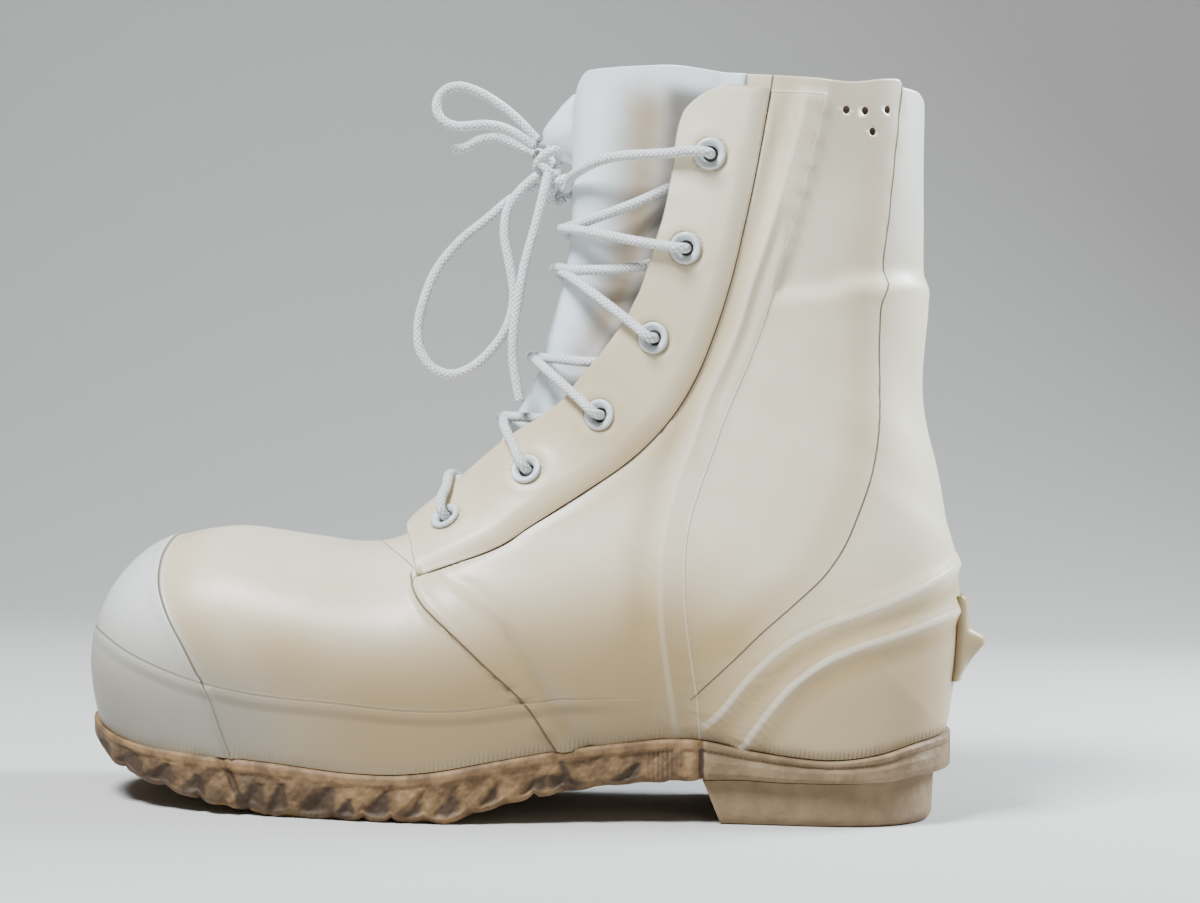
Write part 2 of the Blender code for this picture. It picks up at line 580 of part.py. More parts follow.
def make_tongue(look):
    rows = UPPER_ROWS[UPPER_ROWS > THROAT_ROW]
    row = np.repeat(rows[:, None], len(TONGUE_SHARES), axis=1)
    edge_gap = 0.45 + 1.2 * soft_step(7.8 - row, 0.5)
    angle = np.abs(TONGUE_SHARES) * (throat_edge(row) - edge_gap)
    side = np.where(TONGUE_SHARES < 0, LATERAL, MEDIAL) + np.zeros_like(row)
    at, out = sided(last, row, angle, side), sided(outward, row, angle, side)
    middle = TONGUE_SHARES == 0
    out[:, middle, 1] = 0.0
    out /= np.linalg.norm(out, axis=-1, keepdims=True)
    out[-1, :, 2] = 0.0
    top = tongue_level(row, angle)[..., None]
    return plate("tongue", at + out * top, at + out * (top - TONGUE_WALL), look)


def sided(function, row, angle, side):
    """A function of the last, with each place's own side."""
    return np.where(side[..., None] < 0, function(row, angle, LATERAL), function(row, angle, MEDIAL))


FLAP_ROWS = np.array([7.22, 7.4, 7.75, 8.2, 8.8, 9.5, 10.2, 11.1, 12.0, 12.9, 13.8, 14.7, 15.6, 16.5, 17.4, 18.05, 18.4, 18.6])
FLAP_SHARES = np.array([0, 0.05, 0.35, 0.65, 0.95, 1.0])


def eyelet_frame(number, side):
    """A matrix with its origin on the flap's outer face and +Z out of it."""
    row, angle = EYELETS[number]
    frame = Vector(outward(row, angle, side)).to_track_quat("Z", "Y").to_matrix().to_4x4()
    frame.translation = Vector(stand(lifted(row, angle, side, FLAP_GAP + FLAP_WALL)))
    return frame


def punch(look):
    """What cuts an eyelet's hole through the flap."""
    turn = np.radians(np.arange(EYELET_SIDES) * 360 / EYELET_SIDES)
    circle = np.stack([EYELET_HOLE * np.cos(turn), EYELET_HOLE * np.sin(turn), 0 * turn], -1)
    faces, points = ladder_net(np.stack([circle + (0, 0, -6.0), circle + (0, 0, 4.0)]))
    return mesh_of("punch", points * MM, faces, look)


def make_eyestay(name, side, look, punch_mesh):
    row = np.repeat(FLAP_ROWS[:, None], len(FLAP_SHARES), axis=1)
    free, seam = free_edge(row), flap_seam(row)
    angle = free + (seam - free) * FLAP_SHARES
    edge = (FLAP_SHARES == 0) | (FLAP_SHARES == 1)
    top = FLAP_GAP + FLAP_WALL - 0.9 * edge
    flap = plate(name, lifted(row, angle, side, top + 0 * row), lifted(row, angle, side, FLAP_GAP + 0 * row), look)
    for number in range(len(EYELETS)):
        hole = place(f"{name}_hole_{number + 1}", punch_mesh, eyelet_frame(number, side))
        combine(flap, hole, "DIFFERENCE")


def eyelet_mesh(look):
    """A flanged ring: its barrel goes down through the flap, its rolled flange lies on it."""
    seat = 0.6
    profile = np.array([(EYELET_BORE, -FLAP_WALL), (EYELET_BARREL, -FLAP_WALL), (EYELET_BARREL, seat),
                        (EYELET_RADIUS, seat), (EYELET_BORE + 0.9, seat + EYELET_RISE)])
    turn = np.radians(np.arange(EYELET_SIDES) * 360 / EYELET_SIDES)
    rings = np.stack([np.outer(np.cos(turn), profile[:, 0]), np.outer(np.sin(turn), profile[:, 0]),
                      np.tile(profile[:, 1], (EYELET_SIDES, 1))], -1)
    index = np.arange(rings.shape[0] * rings.shape[1]).reshape(rings.shape[:2])
    index = np.concatenate([index, index[:1]])
    index = np.concatenate([index, index[:, :1]], axis=1)
    return mesh_of("eyelet", rings.reshape(-1, 3) * MM, net(index), look)


# ---------------------------------------------------------------- sole, heel, insole
def make_outsole(look, tool_look):
    """The sole: a smooth strip at its top edge, a side that draws in under it, and round the heel a foxing band."""
    toe, heel = (-167.6, -166.0, -162.5, -157.0, -150.0), (138.0, 145.0, 150.5, 154.0, 155.8)
    waist = (BREAST_X - 2, BREAST_X + 2, BREAST_X + 7)
    x = np.concatenate([toe, np.arange(-140, BREAST_X - 5, 12), waist, np.arange(75, 132, 11), heel])
    behind = x > BREAST_X
    top, under = sole_line(x) - SOLE_GAP, under_line(x)
    middle, half = plan(x, 1.0)
    # the side of each station, from the top edge down: how far out of the sole line it stands, and how far down it is
    fore = ((0.8, 0.0), (1.4, 0.12), (1.4, 0.34), (0.2, 0.40), (-0.4, 0.93), (-1.6, 1.0))
    band = ((-0.4, 0.0), (1.0, 0.12), (1.4, 0.40), (1.2, 0.70), (0.2, 0.93), (-2.5, 1.0))
    sides = {LATERAL: [], MEDIAL: []}
    for (fore_out, fore_down), (band_out, band_down) in zip(fore, band):
        out = np.maximum(half - 1.0 + np.where(behind, band_out, fore_out), 3.0)
        z = top - np.where(behind, band_down, fore_down) * (top - under)
        for side, line in sides.items():
            line.append(np.stack([x, middle + side * out, z], -1))
    sole = ladder("outsole", np.stack(sides[MEDIAL] + sides[LATERAL][::-1], axis=1), look)
    for number in range(GROOVES):
        cutter = groove(f"groove_{number + 1}", FIRST_GROOVE_X + CLEAT_PITCH * number, tool_look)
        combine(sole, cutter, "DIFFERENCE")


def groove(name, centre, look):
    """A zigzag cutter across the sole; its roof follows the sole's underside."""
    y = np.arange(-6, 7) * ZIGZAG_STEP
    zigzag = ZIGZAG_REACH * np.where(np.arange(len(y)) % 2 == 0, 1.0, -1.0)
    front, rear = centre + zigzag - GROOVE_WIDTH / 2, centre + zigzag + GROOVE_WIDTH / 2
    floor = np.full_like(y, -5.0)
    rings = np.stack([np.stack([front, y, floor], -1), np.stack([rear, y, floor], -1),
                      np.stack([rear, y, under_line(rear) + CLEAT_DEPTH], -1),
                      np.stack([front, y, under_line(front) + CLEAT_DEPTH], -1)], axis=1)
    return ladder(name, rings, look)


def make_heel(look):
    """The heel block: its breast leans back towards the floor, and its lower edge is rounded off."""
    lean, back_in = 6.5, HEEL_BACK_IN
    end = SOLE_HEEL_X - back_in
    x = BREAST_X + (end - BREAST_X - 0.4) * np.sin(np.linspace(0, 1, HEEL_STATIONS) * math.pi / 2)
    rings = []
    for grow, share in ((0.0, 1.0), (-0.4, 0.5), (-1.0, 0.14), (-3.0, 0.0)):
        shrink = (x - BREAST_X) / (end - BREAST_X)
        at = x + lean * (1 - share) * (1 - shrink) + grow * shrink
        middle, half = plan(x, -back_in)
        half = np.maximum(half + back_in - HEEL_SIDE_IN + grow, 5.0)
        half = np.minimum(half, plan(x, -back_in)[1] + back_in * 0.5 + grow)
        z = share * (under_line(x) - GAP)
        rings.append((at, middle, np.maximum(half, 4.0), z))
    medial = [np.stack([at, middle + half, z], -1) for at, middle, half, z in rings]
    lateral = [np.stack([at, middle - half, z], -1) for at, middle, half, z in rings]
    return ladder("heel", np.stack(medial + lateral[::-1], axis=1), look)


def make_insole(look):
    inset = WALL_THICK + 2.0
    ends = (SOLE_TOE_X + inset + 0.6, SOLE_HEEL_X - inset - 0.6)
    x = (ends[0] + ends[1]) / 2 - (ends[1] - ends[0]) / 2 * np.cos(np.linspace(0, math.pi, 22))
    middle, half = plan(x, -inset)
    half = np.maximum(half, 3.0)
    low = sole_line(x) + INSOLE_RISE
    high = low + INSOLE_THICK
    rings = np.stack([np.stack([x, middle - half, low], -1), np.stack([x, middle + half, low], -1),
                      np.stack([x, middle + half, high], -1), np.stack([x, middle - half, high], -1)], axis=1)
    return ladder("insole", rings, look)


def make_heel_lug(look):
    """A ledge at the back of the counter, with a wedge that keeps a strap from riding up."""
    half_width, wedge_half = 17.0, 13.0
    heights = np.array([52.0, 56.0, 62.0, 65.5, 69.0, 76.0, 84.0])
    proud = np.array([1.6, 2.2, 6.6, 8.6, 3.0, 1.8, 1.0])
    y = np.linspace(-half_width, half_width, 7)
    across, height = np.meshgrid(y, heights)
    back = heel_back(across, height)
    ribbed = 0.0
    for rib in RIBS:
        near = np.abs(back[..., 2] - rib_height(rib, back[..., 0])) / RIB_HALF
        ribbed = ribbed + RIB_RISE * np.clip(1 - near**2, 0, 1)
    inner = back + np.array([1.0, 0, 0]) * (ribbed + 1.0)[..., None]
    taper = np.clip((half_width - np.abs(y)) / (half_width - wedge_half), 0, 1)
    out = 1.0 + (proud[:, None] - 1.0) * taper[None, :]
    outer = back + np.array([1.0, 0, 0]) * (ribbed + 1.0 + out)[..., None]
    return plate("heel_lug", outer, inner, look)


# ---------------------------------------------------------------- lace
CROSSING_ROWS = (8.6, 9.9, 11.3, 14.0, 15.2)
OVER_EYELET, OVER_FLAP, UNDER_FLAP = 8.1, 5.9, -2.1


def strand(start, start_side, end, crossing_row):
    """The lace from the top of one eyelet, across the tongue, to the underside of the other flap."""
    (row_a, angle_a), (row_b, angle_b) = start, end
    free_a = float(free_edge((row_a + crossing_row) / 2))
    free_b = float(free_edge((row_b + crossing_row) / 2))
    route = [
        (row_a, angle_a, start_side, OVER_EYELET),
        (row_a + 0.22 * (crossing_row - row_a), angle_a - 0.35 * (angle_a - free_a), start_side, OVER_FLAP + 0.9),
        ((row_a + crossing_row) / 2, free_a + 2, start_side, OVER_FLAP),
        (crossing_row - 0.25 * (crossing_row - row_a), 0.5 * free_a, start_side, 3.0),
        (crossing_row, 0.0, start_side, 2.8),
        (crossing_row + 0.25 * (row_b - crossing_row), 0.45 * free_b, -start_side, 1.9),
        ((row_b + crossing_row) / 2, free_b - 1, -start_side, UNDER_FLAP),
        (row_b - 0.25 * (row_b - crossing_row), free_b + 0.45 * (angle_b - free_b), -start_side, UNDER_FLAP - 0.2),
    ]
    return [lifted(row, angle, side, lift) for row, angle, side, lift in route]


def top_strand(side):
    """The lace from the top of the last eyelet down across the tongue and up into the knot."""
    row, angle = EYELETS[-1]
    free = float(free_edge(row))
    route = [(row, angle, OVER_EYELET), (row - 0.1, angle - 5, OVER_FLAP + 1.0), (row - 0.3, free + 1, OVER_FLAP),
             (row - 0.7, 0.6 * free, 3.6), (row - 1.2, 0.2 * free, 2.9)]
    into_knot = np.array(KNOT_AT) + (0.5, 1.5 * side, -3.0)
    return [lifted(*place[:2], side, place[2]) for place in route] + [into_knot]


def make_lacing(look, tool_look):
    for number, crossing_row in enumerate(CROSSING_ROWS):
        low, high = EYELETS[number], EYELETS[number + 1]
        name = f"lace_cross_{number + 1}"
        pair = [swept(through(strand(low, side, high, crossing_row), 11.0), LACE / 2) for side in (LATERAL, MEDIAL)]
        crossing = ladder(name, pair[0], look)
        combine(crossing, ladder(name + "_other", pair[1], tool_look), "UNION")


def make_knot(look, tool_look):
    """The knot, a lump with the turns of the lace showing as three ridges, with the two strands that reach it."""
    rings, sides = 6, 9
    polar, turn = np.meshgrid(np.linspace(0.3, math.pi - 0.3, rings), np.radians(np.arange(sides) * 40), indexing="ij")
    size = 1 + 0.10 * np.cos(3 * turn + 2 * polar)
    at = np.stack([5.2 * np.sin(polar) * np.cos(turn), 6.0 * np.sin(polar) * np.sin(turn), 8.5 * np.cos(polar)], -1)
    knot = ladder("lace_knot", np.array(KNOT_AT) + at * size[..., None], look)
    for name, side in SIDES.items():
        strand_in = ladder(f"lace_knot_{name}", swept(through(top_strand(side), 10.0), LACE / 2), tool_look)
        combine(knot, strand_in, "UNION")


def make_cord(name, route, look):
    """A free stretch of the lace: a round tube on the points of its route."""
    points = through(route, 2.8 * LACE)
    line = bpy.data.curves.new(name, "CURVE")
    line.dimensions = "3D"
    line.bevel_depth = LACE / 2 * MM
    line.bevel_resolution = 2
    line.use_fill_caps = True
    spline = line.splines.new("POLY")
    spline.points.add(len(points) - 1)
    spline.points.foreach_set("co", np.column_stack([stand(points), np.ones(len(points))]).ravel())
    line.materials.append(look)
    place(name, line)


def main():
    for thing in list(bpy.data.objects):
        bpy.data.objects.remove(thing)
    rubber = material("white rubber", (0.78, 0.75, 0.68), 0.45)
    tongue_rubber = material("tongue rubber", (0.82, 0.82, 0.79), 0.42)
    tread = material("tan rubber", (0.42, 0.31, 0.20), 0.7)
    heel_rubber = material("cream rubber", (0.62, 0.54, 0.42), 0.6)
    felt = material("insole felt", (0.55, 0.53, 0.48), 0.9)
    painted = material("painted metal", (0.70, 0.74, 0.76), 0.35)
    cotton = material("white cotton", (0.80, 0.80, 0.80), 0.85)
    cutter = material("cutter", (1.0, 0.1, 0.1), 0.5)

    make_upper(rubber)
    make_outsole(tread, cutter)
    make_heel(heel_rubber)
    make_insole(felt)
    make_tongue(tongue_rubber)
    ring, hole = eyelet_mesh(painted), punch(cutter)
    for name, side in SIDES.items():
        make_eyestay(f"eyestay_{name}", side, rubber, hole)
        for number in range(len(EYELETS)):
            place(f"eyelet_{name}_{number + 1}", ring, eyelet_frame(number, side))
    make_heel_lug(rubber)
    make_lacing(cotton, cutter)
    make_knot(cotton, cutter)
    for name, route in CORDS.items():
        make_cord(name, route, cotton)


main()
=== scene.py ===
# %% [markdown]
# # A cold-weather rubber boot, dressed over its imported model
#
# The imported model gives the boot's solids in metres, with the toe towards -X, the outer side towards -Y and
# the floor at Z = 0. This script lays finer surfaces over those solids and gives every one of them its
# finish. Each surface is worked out with numpy as a whole grid of points, from the same tables of sizes as
# the solids.
#
# We start with the frame, because every piece is placed by it.

# %% The frame
import math

import bpy
import numpy as np
from mathutils import Matrix, Vector


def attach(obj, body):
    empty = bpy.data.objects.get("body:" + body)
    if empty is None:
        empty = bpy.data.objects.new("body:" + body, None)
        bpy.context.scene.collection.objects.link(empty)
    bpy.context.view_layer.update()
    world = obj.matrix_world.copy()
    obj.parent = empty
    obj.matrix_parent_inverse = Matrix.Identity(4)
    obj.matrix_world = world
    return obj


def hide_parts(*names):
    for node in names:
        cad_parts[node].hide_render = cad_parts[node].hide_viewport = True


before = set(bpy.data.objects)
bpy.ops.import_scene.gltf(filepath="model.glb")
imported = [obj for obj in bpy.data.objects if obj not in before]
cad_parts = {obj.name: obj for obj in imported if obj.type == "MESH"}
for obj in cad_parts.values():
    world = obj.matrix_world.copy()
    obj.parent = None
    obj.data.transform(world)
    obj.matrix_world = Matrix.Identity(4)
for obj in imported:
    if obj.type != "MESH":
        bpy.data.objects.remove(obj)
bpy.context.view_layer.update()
MM = 0.001
LATERAL, MEDIAL = -1.0, 1.0  # the sign of Y on the boot's outer and inner side
SIDES = {"lateral": LATERAL, "medial": MEDIAL}
LEAN = 0.029  # how far the upright boot leans to the toe, as a share of the height
CENTRE = (-1.5, 0.9)  # what is taken off x and y, so that the boot's box is centred


def stand(points):
    """From millimetres round the upright boot to metres in the frame: x loses the lean's share of the
    height, and x and y lose the centre's."""
    x, y, z = np.moveaxis(np.asarray(points, float), -1, 0)
    return np.stack([x - CENTRE[0] - LEAN * z, y - CENTRE[1], z], -1) * MM


print("solids in the frame:", len(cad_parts))

# %% [markdown]
# ## The camera
#
# A boot is best read from its outer side. The camera looks level across the foot from 0.9 metres, with a
# lens long enough to keep the shaft upright, and is rolled a little, which is why the heel seems to stand
# lower than the toe.

# %% The camera
EYE = Vector((0.0213, -0.9009, 0.134))
LENS, ROLL = 71.1, 1.65

camera = bpy.data.objects.new("camera", bpy.data.cameras.new("camera"))
bpy.context.scene.collection.objects.link(camera)
camera.data.lens = LENS
camera.location = EYE
level, rolled = Matrix.Rotation(math.radians(90), 3, "X"), Matrix.Rotation(math.radians(ROLL), 3, "Z")
camera.rotation_euler = (level @ rolled).to_euler()
bpy.context.scene.camera = camera
print("camera", tuple(round(v, 3) for v in EYE), "lens", LENS)

# %% [markdown]
# ## Helpers that make a mesh
#
# A surface here is a grid of points, so its faces can be numbered without a loop over points: each face
# joins four neighbours of the grid. `foreach_set` then hands whole arrays to Blender, which is far quicker
# than one point at a time. A value painted on the points, such as a distance from a seam, stays sharp
# between them, because it changes evenly across a face.

# %% Grids into meshes
def grid_faces(index):
    """Four point numbers for each cell of a grid of point numbers."""
    return np.stack([index[:-1, :-1], index[:-1, 1:], index[1:, 1:], index[1:, :-1]], -1).reshape(-1, 4)


def strip_faces(line_a, line_b):
    """The faces between two lines of point numbers, which are a grid of two rows."""
    return grid_faces(np.stack([line_a, line_b]))

print("a grid of 3 by 4 points has", len(grid_faces(np.arange(12).reshape(3, 4))), "faces")

# %% Mesh objects and what is painted on them
def build(name, points, quads, ends=(), looks=(), sharp=None):
    """A smooth mesh object from points in metres, quads, and end faces of any size, with its normals turned
    out."""
    polygons = [np.asarray(quads).reshape(-1)] + [np.asarray(end) for end in ends]
    sizes = np.concatenate([np.full(len(quads), 4), [len(end) for end in ends]]).astype(int)
    corners = np.concatenate(polygons).astype(np.int32)
    mesh = bpy.data.meshes.new(name)
    mesh.vertices.add(len(points))
    mesh.vertices.foreach_set("co", np.ascontiguousarray(points, np.float32).ravel())
    mesh.loops.add(len(corners))
    mesh.loops.foreach_set("vertex_index", corners)
    mesh.polygons.add(len(sizes))
    mesh.polygons.foreach_set("loop_start", np.concatenate([[0], np.cumsum(sizes)[:-1]]).astype(np.int32))
    mesh.update(calc_edges=True)
    mesh.validate()
    mesh.shade_smooth()
    if sharp:
        mesh.set_sharp_from_angle(angle=math.radians(sharp))
    piece = bpy.data.objects.new(name, mesh)
    bpy.context.scene.collection.objects.link(piece)
    for look in looks:
        mesh.materials.append(look)
    turn_out(piece)
    return piece


def turn_out(piece):
    """Turns the faces outwards if the closed mesh's volume comes out negative."""
    mesh = piece.data
    mesh.calc_loop_triangles()
    count = len(mesh.loop_triangles)
    corners = np.empty(count * 3, np.int32)
    mesh.loop_triangles.foreach_get("vertices", corners)
    at = np.empty(len(mesh.vertices) * 3, np.float32)
    mesh.vertices.foreach_get("co", at)
    a, b, c = at.reshape(-1, 3)[corners.reshape(-1, 3)].transpose(1, 0, 2).astype(float)
    if np.sum(np.einsum("ij,ij->i", a, np.cross(b, c))) < 0:
        mesh.flip_normals()


def paint(piece, **fields):
    """Keeps one value for each point of a piece, under a name that its material reads."""
    for name, values in fields.items():
        layer = piece.data.attributes.new(name, "FLOAT", "POINT")
        layer.data.foreach_set("value", np.ascontiguousarray(values, np.float32).ravel())


def dress(piece, slot, *nodes):
    """The piece moves with the boot's one body and stands for the nodes that it covers. The slot is not used.
    Its faces and size are printed."""
    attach(piece, "root")
    if nodes:
        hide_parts(*nodes)
    x, y, z = np.array(piece.dimensions) / MM
    print(f"{piece.name}: {len(piece.data.polygons)} faces, {x:.0f} x {y:.0f} x {z:.0f} mm")

# %% Closed bodies
def ladder(name, rings, looks, sharp=None):
    """A closed body through rings of points in metres, with a face over each end."""
    stations, around = rings.shape[:2]
    index = np.arange(stations * around).reshape(stations, around)
    faces = grid_faces(np.concatenate([index, index[:, :1]], axis=1))
    return build(name, rings.reshape(-1, 3), faces, [index[0], index[-1]], looks, sharp)


def plate(name, outer, inner, looks, sharp=None):
    """A closed wall between two grids of points of one shape."""
    rows, columns = outer.shape[:2]
    top = np.arange(rows * columns).reshape(rows, columns)
    low = top + rows * columns
    sides = (np.s_[0, :], np.s_[-1, :], np.s_[:, 0], np.s_[:, -1])
    rim = [strip_faces(top[side], low[side]) for side in sides]
    faces = np.concatenate([grid_faces(top), grid_faces(low)[:, ::-1], *rim])
    return build(name, np.concatenate([outer.reshape(-1, 3), inner.reshape(-1, 3)]), faces, (), looks, sharp)

# %% Curves through points
def hermite(xs, ys, slopes, at):
    """Cubic spans between the points, with the given slope at each."""
    at = np.clip(at, xs[0], xs[-1])
    left = np.clip(np.searchsorted(xs, at, side="right") - 1, 0, len(xs) - 2)
    width = xs[left + 1] - xs[left]
    f = (at - xs[left]) / width
    ends = ys[left] * (1 + 2 * f) * (1 - f) ** 2 + ys[left + 1] * f * f * (3 - 2 * f)
    return ends + width * (slopes[left] * f * (1 - f) ** 2 - slopes[left + 1] * f * f * (1 - f))


def curve(xs, ys, at, start_slope=None):
    """A smooth curve through the points; each one's slope comes from its neighbours."""
    xs, ys = np.asarray(xs, float), np.asarray(ys, float)
    slopes = np.gradient(ys, xs)
    if start_slope is not None:
        slopes[0] = start_slope
    return hermite(xs, ys, slopes, at)


def steady(xs, ys, at):
    """A smooth curve that never overshoots a point: where two spans turn, its slope is their harmonic
    mean."""
    xs, ys = np.asarray(xs, float), np.asarray(ys, float)
    rise = np.diff(ys) / np.diff(xs)
    slopes = np.gradient(ys, xs)
    before, after = rise[:-1], rise[1:]
    same_way = before * after > 0
    both = np.where(same_way, before + after, 1.0)
    slopes[1:-1] = np.where(same_way, 2 * before * after / both, 0.0)
    slopes[0], slopes[-1] = rise[0], rise[-1]
    return hermite(xs, ys, slopes, at)

print("half way along a curve's first span:", curve((0, 1, 2), (0, 1, 4), 0.5))

# %% Steps, humps and waves
def soft_step(amount, edge):
    """0 below -edge / 2, 1 above +edge / 2, and an S between."""
    f = np.clip(amount / edge + 0.5, 0.0, 1.0)
    return f * f * (3 - 2 * f)


def hump(amount, half):
    """1 at nought, falling to 0 at half on both sides."""
    return 1 - soft_step(np.abs(amount) - half / 2, half)


def eased(count):
    """Steps from 0 to 1 that start small: 1 - cos over a quarter turn."""
    return 1 - np.cos(np.linspace(0, math.pi / 2, count))


def waves(at, size, seed, depth=3):
    """Slow unevenness: a few sines that cross at odd angles, of about this size, between -1 and 1."""
    pick = np.random.default_rng(seed)
    total = np.zeros(at.shape[:-1])
    for octave in range(depth):
        for _ in range(4):
            way = pick.normal(size=3)
            way *= 2 * math.pi * (1.7**octave) / (size * np.linalg.norm(way))
            total += np.sin(at @ way + pick.uniform(0, 2 * math.pi)) / (1.7**octave)
    return total / 8.0


print("a soft step, a quarter past its middle:", soft_step(0.25, 1.0))

# %% [markdown]
# ## Tubes
#
# A lace is a round tube on a route. Its ring is carried along from point to point: at each one, the
# sideways direction loses what now points along the route and is made one long again, so the tube never
# twists. A second table, UV, runs once round the tube and along it in lace widths, so that a braid drawn on
# it stays in scale.

# %% Routes and tubes
def run_along(points):
    """The distance along a route at each of its points."""
    return np.concatenate([[0], np.cumsum(np.linalg.norm(np.diff(points, axis=0), axis=1))])


def through(route, spacing):
    """Points at about this spacing on a smooth curve through a route's own points, in millimetres."""
    route = np.asarray(route, float)
    along = run_along(route)
    at = np.linspace(0, along[-1], max(int(round(along[-1] / spacing)), 3) + 1)
    return np.stack([curve(along, route[:, i], at) for i in range(3)], -1)


def tube_rings(points, radius, sides):
    """Rings of points round a route, carried along without twisting."""
    heading = np.gradient(points, axis=0)
    heading /= np.linalg.norm(heading, axis=1, keepdims=True)
    across = np.cross(heading[0], (0.3, 0.5, 0.8))
    sideways = np.empty_like(points)
    for i, ahead in enumerate(heading):
        across = across - ahead * np.dot(across, ahead)
        across /= np.linalg.norm(across)
        sideways[i] = across
    up = np.cross(heading, sideways)
    turn = np.linspace(0, 2 * math.pi, sides, endpoint=False)
    ring = np.cos(turn)[None, :, None] * sideways[:, None] + np.sin(turn)[None, :, None] * up[:, None]
    radius = np.broadcast_to(np.asarray(radius, float), (len(points),))
    return points[:, None] + ring * radius[:, None, None]


def tube(name, points, radius, looks, sides=16):
    """A closed tube in the frame with its braid's UV map: u once round, v along in tube widths."""
    rings = stand(tube_rings(points, radius * (1 + 0.05 * waves(points, 6.0, 71)), sides))
    piece = ladder(name, rings, looks)
    along = run_along(points) / (2 * np.max(radius))
    corners = np.empty(len(piece.data.loops), np.int32)
    piece.data.loops.foreach_get("vertex_index", corners)
    walls = 4 * sides * (len(points) - 1)
    station, place = corners[:walls].reshape(-1, 4) // sides, corners[:walls].reshape(-1, 4) % sides
    wraps = np.ptp(place, axis=1)[:, None] > sides / 2
    u = np.where(wraps & (place < sides / 2), place + sides, place) / sides
    uv = np.zeros((len(corners), 2), np.float32)
    uv[:walls] = np.stack([u, along[station]], -1).reshape(-1, 2)
    piece.data.uv_layers.new(name="braid").data.foreach_set("uv", uv.ravel())
    return piece

# %% [markdown]
# ## Finishes
#
# A finish is a small network of shader nodes. What several finishes share is a node group: the fine skin of
# moulded rubber, a thin line at a painted distance, and dark patches, which are grime in some places and
# painted shade in others. Each one puts out heights and masks, and the finish decides what they do to colour,
# roughness and bump.

# %% Node helpers
def feed(tree, made, inputs):
    """Gives each named or numbered input of a node a value or a link."""
    for name, value in dict(inputs).items():
        if isinstance(value, bpy.types.NodeSocket):
            tree.links.new(value, made.inputs[name])
        else:
            made.inputs[name].default_value = value


def node(tree, kind, inputs=(), **settings):
    """Adds a node, sets it up and feeds its inputs."""
    made = tree.nodes.new(kind)
    for name, value in settings.items():
        setattr(made, name, value)
    feed(tree, made, inputs)
    return made

# %% Arithmetic, colour and noise in nodes
def maths(tree, operation, a, b=0.0, clamp=False):
    """One step of arithmetic on two values."""
    return node(tree, "ShaderNodeMath", {0: a, 1: b}, operation=operation, use_clamp=clamp).outputs[0]


def times(tree, a, b):
    """a times b."""
    return maths(tree, "MULTIPLY", a, b)


def plus(tree, a, b):
    """a plus b."""
    return maths(tree, "ADD", a, b)


def blend(tree, factor, low, high):
    """A mix of two colours: low at factor 0, high at 1."""
    mix = node(tree, "ShaderNodeMix", {0: factor, 6: low, 7: high}, data_type="RGBA")
    return mix.outputs[2]


def ramp(tree, value, low, high, to_low=0.0, to_high=1.0):
    """Maps a span of values smoothly onto another, and holds its ends."""
    inputs = {0: value, 1: low, 2: high, 3: to_low, 4: to_high}
    return node(tree, "ShaderNodeMapRange", inputs, interpolation_type="SMOOTHSTEP").outputs[0]


def painted(tree, name):
    """The value painted on the points under this name."""
    return node(tree, "ShaderNodeAttribute", attribute_name=name).outputs["Fac"]


def noise(tree, place, scale, detail=3.0, roughness=0.5):
    """Cloudy noise from 0 to 1, with this many clouds in a metre."""
    inputs = {"Vector": place, "Scale": scale, "Detail": detail, "Roughness": roughness}
    return node(tree, "ShaderNodeTexNoise", inputs).outputs[0]

# %% Groups, materials and bumps
def new_group(name, inputs, outputs):
    """An empty node group with float sockets; it gives back the group and its two ends."""
    group = bpy.data.node_groups.new(name, "ShaderNodeTree")
    for label, value in inputs.items():
        kind = "NodeSocketVector" if value is None else "NodeSocketFloat"
        made = group.interface.new_socket(label, in_out="INPUT", socket_type=kind)
        if value is not None:
            made.default_value = value
    for label in outputs:
        group.interface.new_socket(label, in_out="OUTPUT", socket_type="NodeSocketFloat")
    return group, group.nodes.new("NodeGroupInput").outputs, group.nodes.new("NodeGroupOutput").inputs


def use(tree, group, inputs):
    """Places a group, feeds its inputs and gives back its outputs."""
    return node(tree, "ShaderNodeGroup", inputs, node_tree=group).outputs


def new_finish(name):
    """A new material: its tree, its shader and its Object coordinates."""
    look = bpy.data.materials.new(name)
    look.use_nodes = True
    tree = look.node_tree
    place = node(tree, "ShaderNodeTexCoord").outputs["Object"]
    return look, tree, tree.nodes["Principled BSDF"], place


def bump(tree, shader, height, distance, strength=1.0):
    """Sends a height through a Bump node to the shader; distance is how many metres a height of 1 stands
    for."""
    made = node(tree, "ShaderNodeBump", {"Height": height, "Strength": strength, "Distance": distance})
    tree.links.new(made.outputs[0], shader.inputs["Normal"])

# %% Groups that the finishes share
def make_rubber_skin():
    """Height is fine orange peel from the mould on a slower unevenness. Mottle is broad patches, and Scuff
    is a few faint marks, stretched along the boot, both from 0 to 1."""
    inputs, outputs = {"Place": None, "Grain": 900.0}, ("Height", "Mottle", "Scuff")
    group, into, out = new_group("rubber skin", inputs, outputs)
    fine = noise(group, into["Place"], into["Grain"], 2.0, 0.6)
    broad = noise(group, into["Place"], 75.0, 3.0, 0.5)
    group.links.new(plus(group, times(group, fine, 0.30), times(group, broad, 0.70)), out["Height"])
    group.links.new(ramp(group, noise(group, into["Place"], 17.0, 4.0, 0.6), 0.30, 0.70), out["Mottle"])
    stretch = {"Vector": into["Place"], "Scale": (14.0, 14.0, 60.0)}
    stretched = node(group, "ShaderNodeMapping", stretch).outputs[0]
    group.links.new(ramp(group, noise(group, stretched, 4.0, 5.0, 0.75), 0.66, 0.74), out["Scuff"])
    return group


